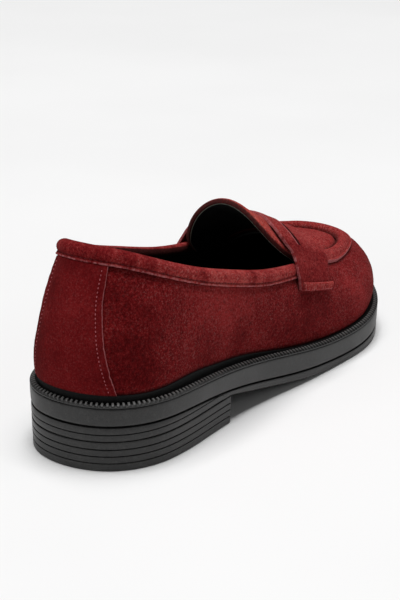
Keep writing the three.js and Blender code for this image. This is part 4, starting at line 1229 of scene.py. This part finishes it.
def wear(rings, seed):
    """Slight unevenness of moulded rubber."""
    ragged_edge_and_highlight = rings.copy()
    ragged_edge_and_highlight[..., 1] += 0.05 * waves(rings, 30, seed, 2) * np.sign(rings[..., 1])
    return ragged_edge_and_highlight


def midsole_low(x):
    return midsole_foot(x) + GAP


def add_midsole():
    top = line(0.05)
    side = layer_side(top, midsole_low, 0.0, 0.3, 1.0, 0.1)
    u = np.linspace(0, 1, 700, endpoint=False)
    rings = wear(rings_of(u, [(20, top)] + side + [(20, midsole_low)]), 81)
    midsole = close_slab("midsole_rubber", rings, True)
    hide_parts("midsole")


def outsole_top(x):
    return midsole_foot(x) - GAP


def outsole_low(x):
    return outsole_foot(x) + 0.1 * (x < HEEL_BREAST_X)


def outsole_recess(x):
    return outsole_low(x) + TREAD_DEPTH


def groove_line(rise, share):
    """A line along the outsole's groove: level over the heel, then at a share of the layer's depth."""
    ahead = between(outsole_top, outsole_low, share)

    def height(x):
        level = np.minimum(OUTSOLE_GROOVE_HEIGHT, outsole_top(x) - 0.15)
        return np.where(x < LEVEL_GROOVE_END_X, level + rise, ahead(x))

    return height


def add_outsole():
    u = np.linspace(0, 1, 700, endpoint=False)
    x = rim(u)[..., 0]
    top, foot = outsole_top, outsole_low
    upper, middle, lower = groove_line(0.3, 0.4), groove_line(0, 0.45), groove_line(-0.3, 0.5)
    fading = 0.46 + 0.74 * (1 - smooth_step(x, 70, 75))
    groove = np.where(x < LEVEL_GROOVE_END_X, 1.2, fading)
    step = np.where(x < HEEL_BREAST_X, 0.0, 0.3)
    rings = rings_of(u, [
        (20, top), (1.3, top), (0.55, between(top, upper, 0.06)), (0.35, between(top, upper, 0.35)),
        (0.35, between(top, upper, 0.8)), (0.42, upper), (groove, middle), (0.46, lower),
        (0.42, between(lower, foot, 0.2)), (0.46, between(lower, foot, 0.55)),
        (0.6 + step, between(lower, foot, 0.85)), (0.95 + step, between(lower, foot, 0.96)),
        (1.5 + step, foot), (5.5, foot), (6.2, outsole_recess), (9.0, outsole_recess),
    ])
    outsole = close_slab("outsole_rubber", wear(rings, 82), True)
    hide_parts("outsole")


def heel_sections(layers):
    """Sections down the sides of the heel's layers: (top, foot, inset at each, groove)."""
    sections = [(18, flat(layers[0][0]))]
    for top, foot, inset_top, inset_foot, groove in layers:
        sections += layer_side(flat(top), flat(foot), inset_top, inset_foot, groove)
    return sections


def add_heel():
    block_top, block_foot = HEEL_SEAM_HEIGHT - 0.1, TOP_PIECE_HEIGHT + 0.1
    sections = heel_sections([(block_top, 10.5, 0.4, 0.5, 0.75), (10.25, block_foot, 0.5, 0.65, 0.75)])
    sections += [(18, flat(block_foot))]
    block = close_slab("heel_block_rubber", wear(heel_rings(sections), 83), False)
    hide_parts("heel_block")
    sections = heel_sections([(TOP_PIECE_HEIGHT - 0.1, 3.65, 0.65, 0.75, 0.75), (3.4, 0.0, 0.75, 0.85, 0.2)])
    sections += [(5.5, flat(0.0)), (6.2, flat(TREAD_DEPTH)), (18, flat(TREAD_DEPTH))]
    piece = close_slab("heel_top_piece_rubber", wear(heel_rings(sections), 84), False)
    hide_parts("heel_top_piece")


def tread_bars(from_x, to_x, foot):
    """Bars across the sole's foot, standing in its recess: points and faces."""
    root = TREAD_DEPTH + 0.05
    profile = [(-1.6, root), (-1.6, 0.25), (-1.3, 0.02), (1.3, 0.02), (1.6, 0.25), (1.6, root)]
    points, faces = [], []
    for x in np.arange(from_x, to_x, TREAD_PITCH):
        ends = [inset_point(np.array([float(foot_at(x, outer))]), 8.5)[0, 1] for outer in (True, False)]
        y = np.linspace(ends[0], ends[1], 25)
        bend = 2.2 * np.sin(np.linspace(0, 3 * math.pi, 25))
        start = len(points)
        for across, shift in zip(y, bend):
            for ahead, up in profile:
                at = x + shift + ahead
                points.append((at, across, float(foot(np.array(at))) + up))
        for k in range(24):
            for m in range(6):
                a, b = start + 6 * k + m, start + 6 * k + (m + 1) % 6
                faces.append((a, b, b + 6, a + 6))
        faces.append(tuple(range(start, start + 6)))
        faces.append(tuple(range(start + 144, start + 150))[::-1])
    return points, faces


def add_tread(name, from_x, to_x, foot):
    points, faces = tread_bars(from_x, to_x, foot)
    make_mesh(name, points, faces, RUBBER, "shoe", None, 30)


def add_sock():
    top, foot = line(9.4), line(8.5)
    side = [(13.5, top), (11.8, top), (11.2, line(9.2)), (11, line(8.9)), (11.2, foot)]
    u = np.linspace(0, 1, 500, endpoint=False)
    rings = rings_of(u, [(30, top)] + side + [(30, foot)])
    sock = close_slab("sock_liner_leather", rings, True, LINING_LEATHER, 60)
    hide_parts("sock_liner")


def dress_hidden_nodes():
    finishes = {
        "insole_board": BOARD, "footbed_foam": FOAM, "bottom_filler": FILLER, "shank": STEEL,
        "heel_counter": STIFFENER, "toe_puff": STIFFENER,
    }
    finishes.update({f"heel_nail_{i}": STEEL for i in range(1, 6)})
    for name, material in finishes.items():
        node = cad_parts[name]
        node.data.materials.clear()
        node.data.materials.append(material)


# ---- Stage -----------------------------------------------------------------------

def add_floor():
    bpy.ops.mesh.primitive_plane_add(size=8, location=(0, 0, -0.0002))
    floor = bpy.context.object
    floor.name = "floor"
    n = Nodes("floor_paper")
    cloud = n.noise(300, 3, 0.5)
    colour = n.mix(n.remap(cloud, 0.3, 0.7), (0.86, 0.86, 0.86), (0.885, 0.885, 0.885))
    floor.data.materials.append(n.finish(colour, 0.9, None, Specular_IOR_Level=0.1))


def add_light(name, place, target, size, power):
    data = bpy.data.lights.new(name, "AREA")
    data.shape = "RECTANGLE"
    data.size, data.size_y = size
    data.energy = power
    light = bpy.data.objects.new(name, data)
    light.location = place
    way = Vector(target) - Vector(place)
    light.rotation_euler = way.to_track_quat("-Z", "Y").to_euler()
    bpy.context.scene.collection.objects.link(light)


def add_lights():
    middle = (0.08, 0, 0.03)
    add_light("overhead", (0.1, 0.1, 6.0), middle, (3.2, 3.2), 372)
    add_light("behind", (-1.5, 0.3, 0.6), middle, (0.9, 0.7), 3)
    add_light("beside", (0.9, -1.5, 0.7), middle, (0.9, 0.7), 2.6)
    world = bpy.data.worlds.new("studio")
    world.use_nodes = True
    background = world.node_tree.nodes["Background"]
    background.inputs["Color"].default_value = (1, 1, 1, 1)
    background.inputs["Strength"].default_value = 0.08
    bpy.context.scene.world = world


def add_camera():
    azimuth, elevation = math.radians(CAMERA_AZIMUTH), math.radians(CAMERA_ELEVATION)
    forward = Vector((
        math.cos(azimuth) * math.cos(elevation), math.sin(azimuth) * math.cos(elevation), -math.sin(elevation)
    ))
    right = forward.cross(Vector((0, 0, 1))).normalized()
    up = right.cross(forward)
    turn = Matrix((right, up, -forward)).transposed().to_4x4()
    data = bpy.data.cameras.new("camera")
    data.sensor_fit = "VERTICAL"
    data.sensor_height = 36
    data.sensor_width = 36
    data.lens = CAMERA_LENS
    data.shift_x, data.shift_y = CAMERA_SHIFT
    data.clip_start, data.clip_end = 0.01, 50
    camera = bpy.data.objects.new("camera", data)
    place = Vector(CAMERA_TARGET) - forward * CAMERA_DISTANCE
    roll = Matrix.Rotation(math.radians(CAMERA_ROLL), 4, "Z")
    camera.matrix_world = Matrix.Translation(place) @ turn @ roll
    bpy.context.scene.collection.objects.link(camera)
    bpy.context.scene.camera = camera


add_vamp()
add_heel_panel()
add_binding()
add_apron()
add_band()
add_strap()
add_tab(True, "strap_tab_outer_suede", "strap_tab_outer")
add_tab(False, "strap_tab_inner_suede", "strap_tab_inner")
add_tongue()
add_linings()
add_welt()
add_midsole()
add_outsole()
add_heel()
add_tread("outsole_tread", HEEL_BREAST_X + 18, 258, outsole_foot)
add_tread("heel_tread", 13, HEEL_BREAST_X - 7, flat(0.0))
add_sock()
dress_hidden_nodes()
add_floor()
add_lights()
add_camera()
bpy.context.scene.view_settings.view_transform = "Standard"
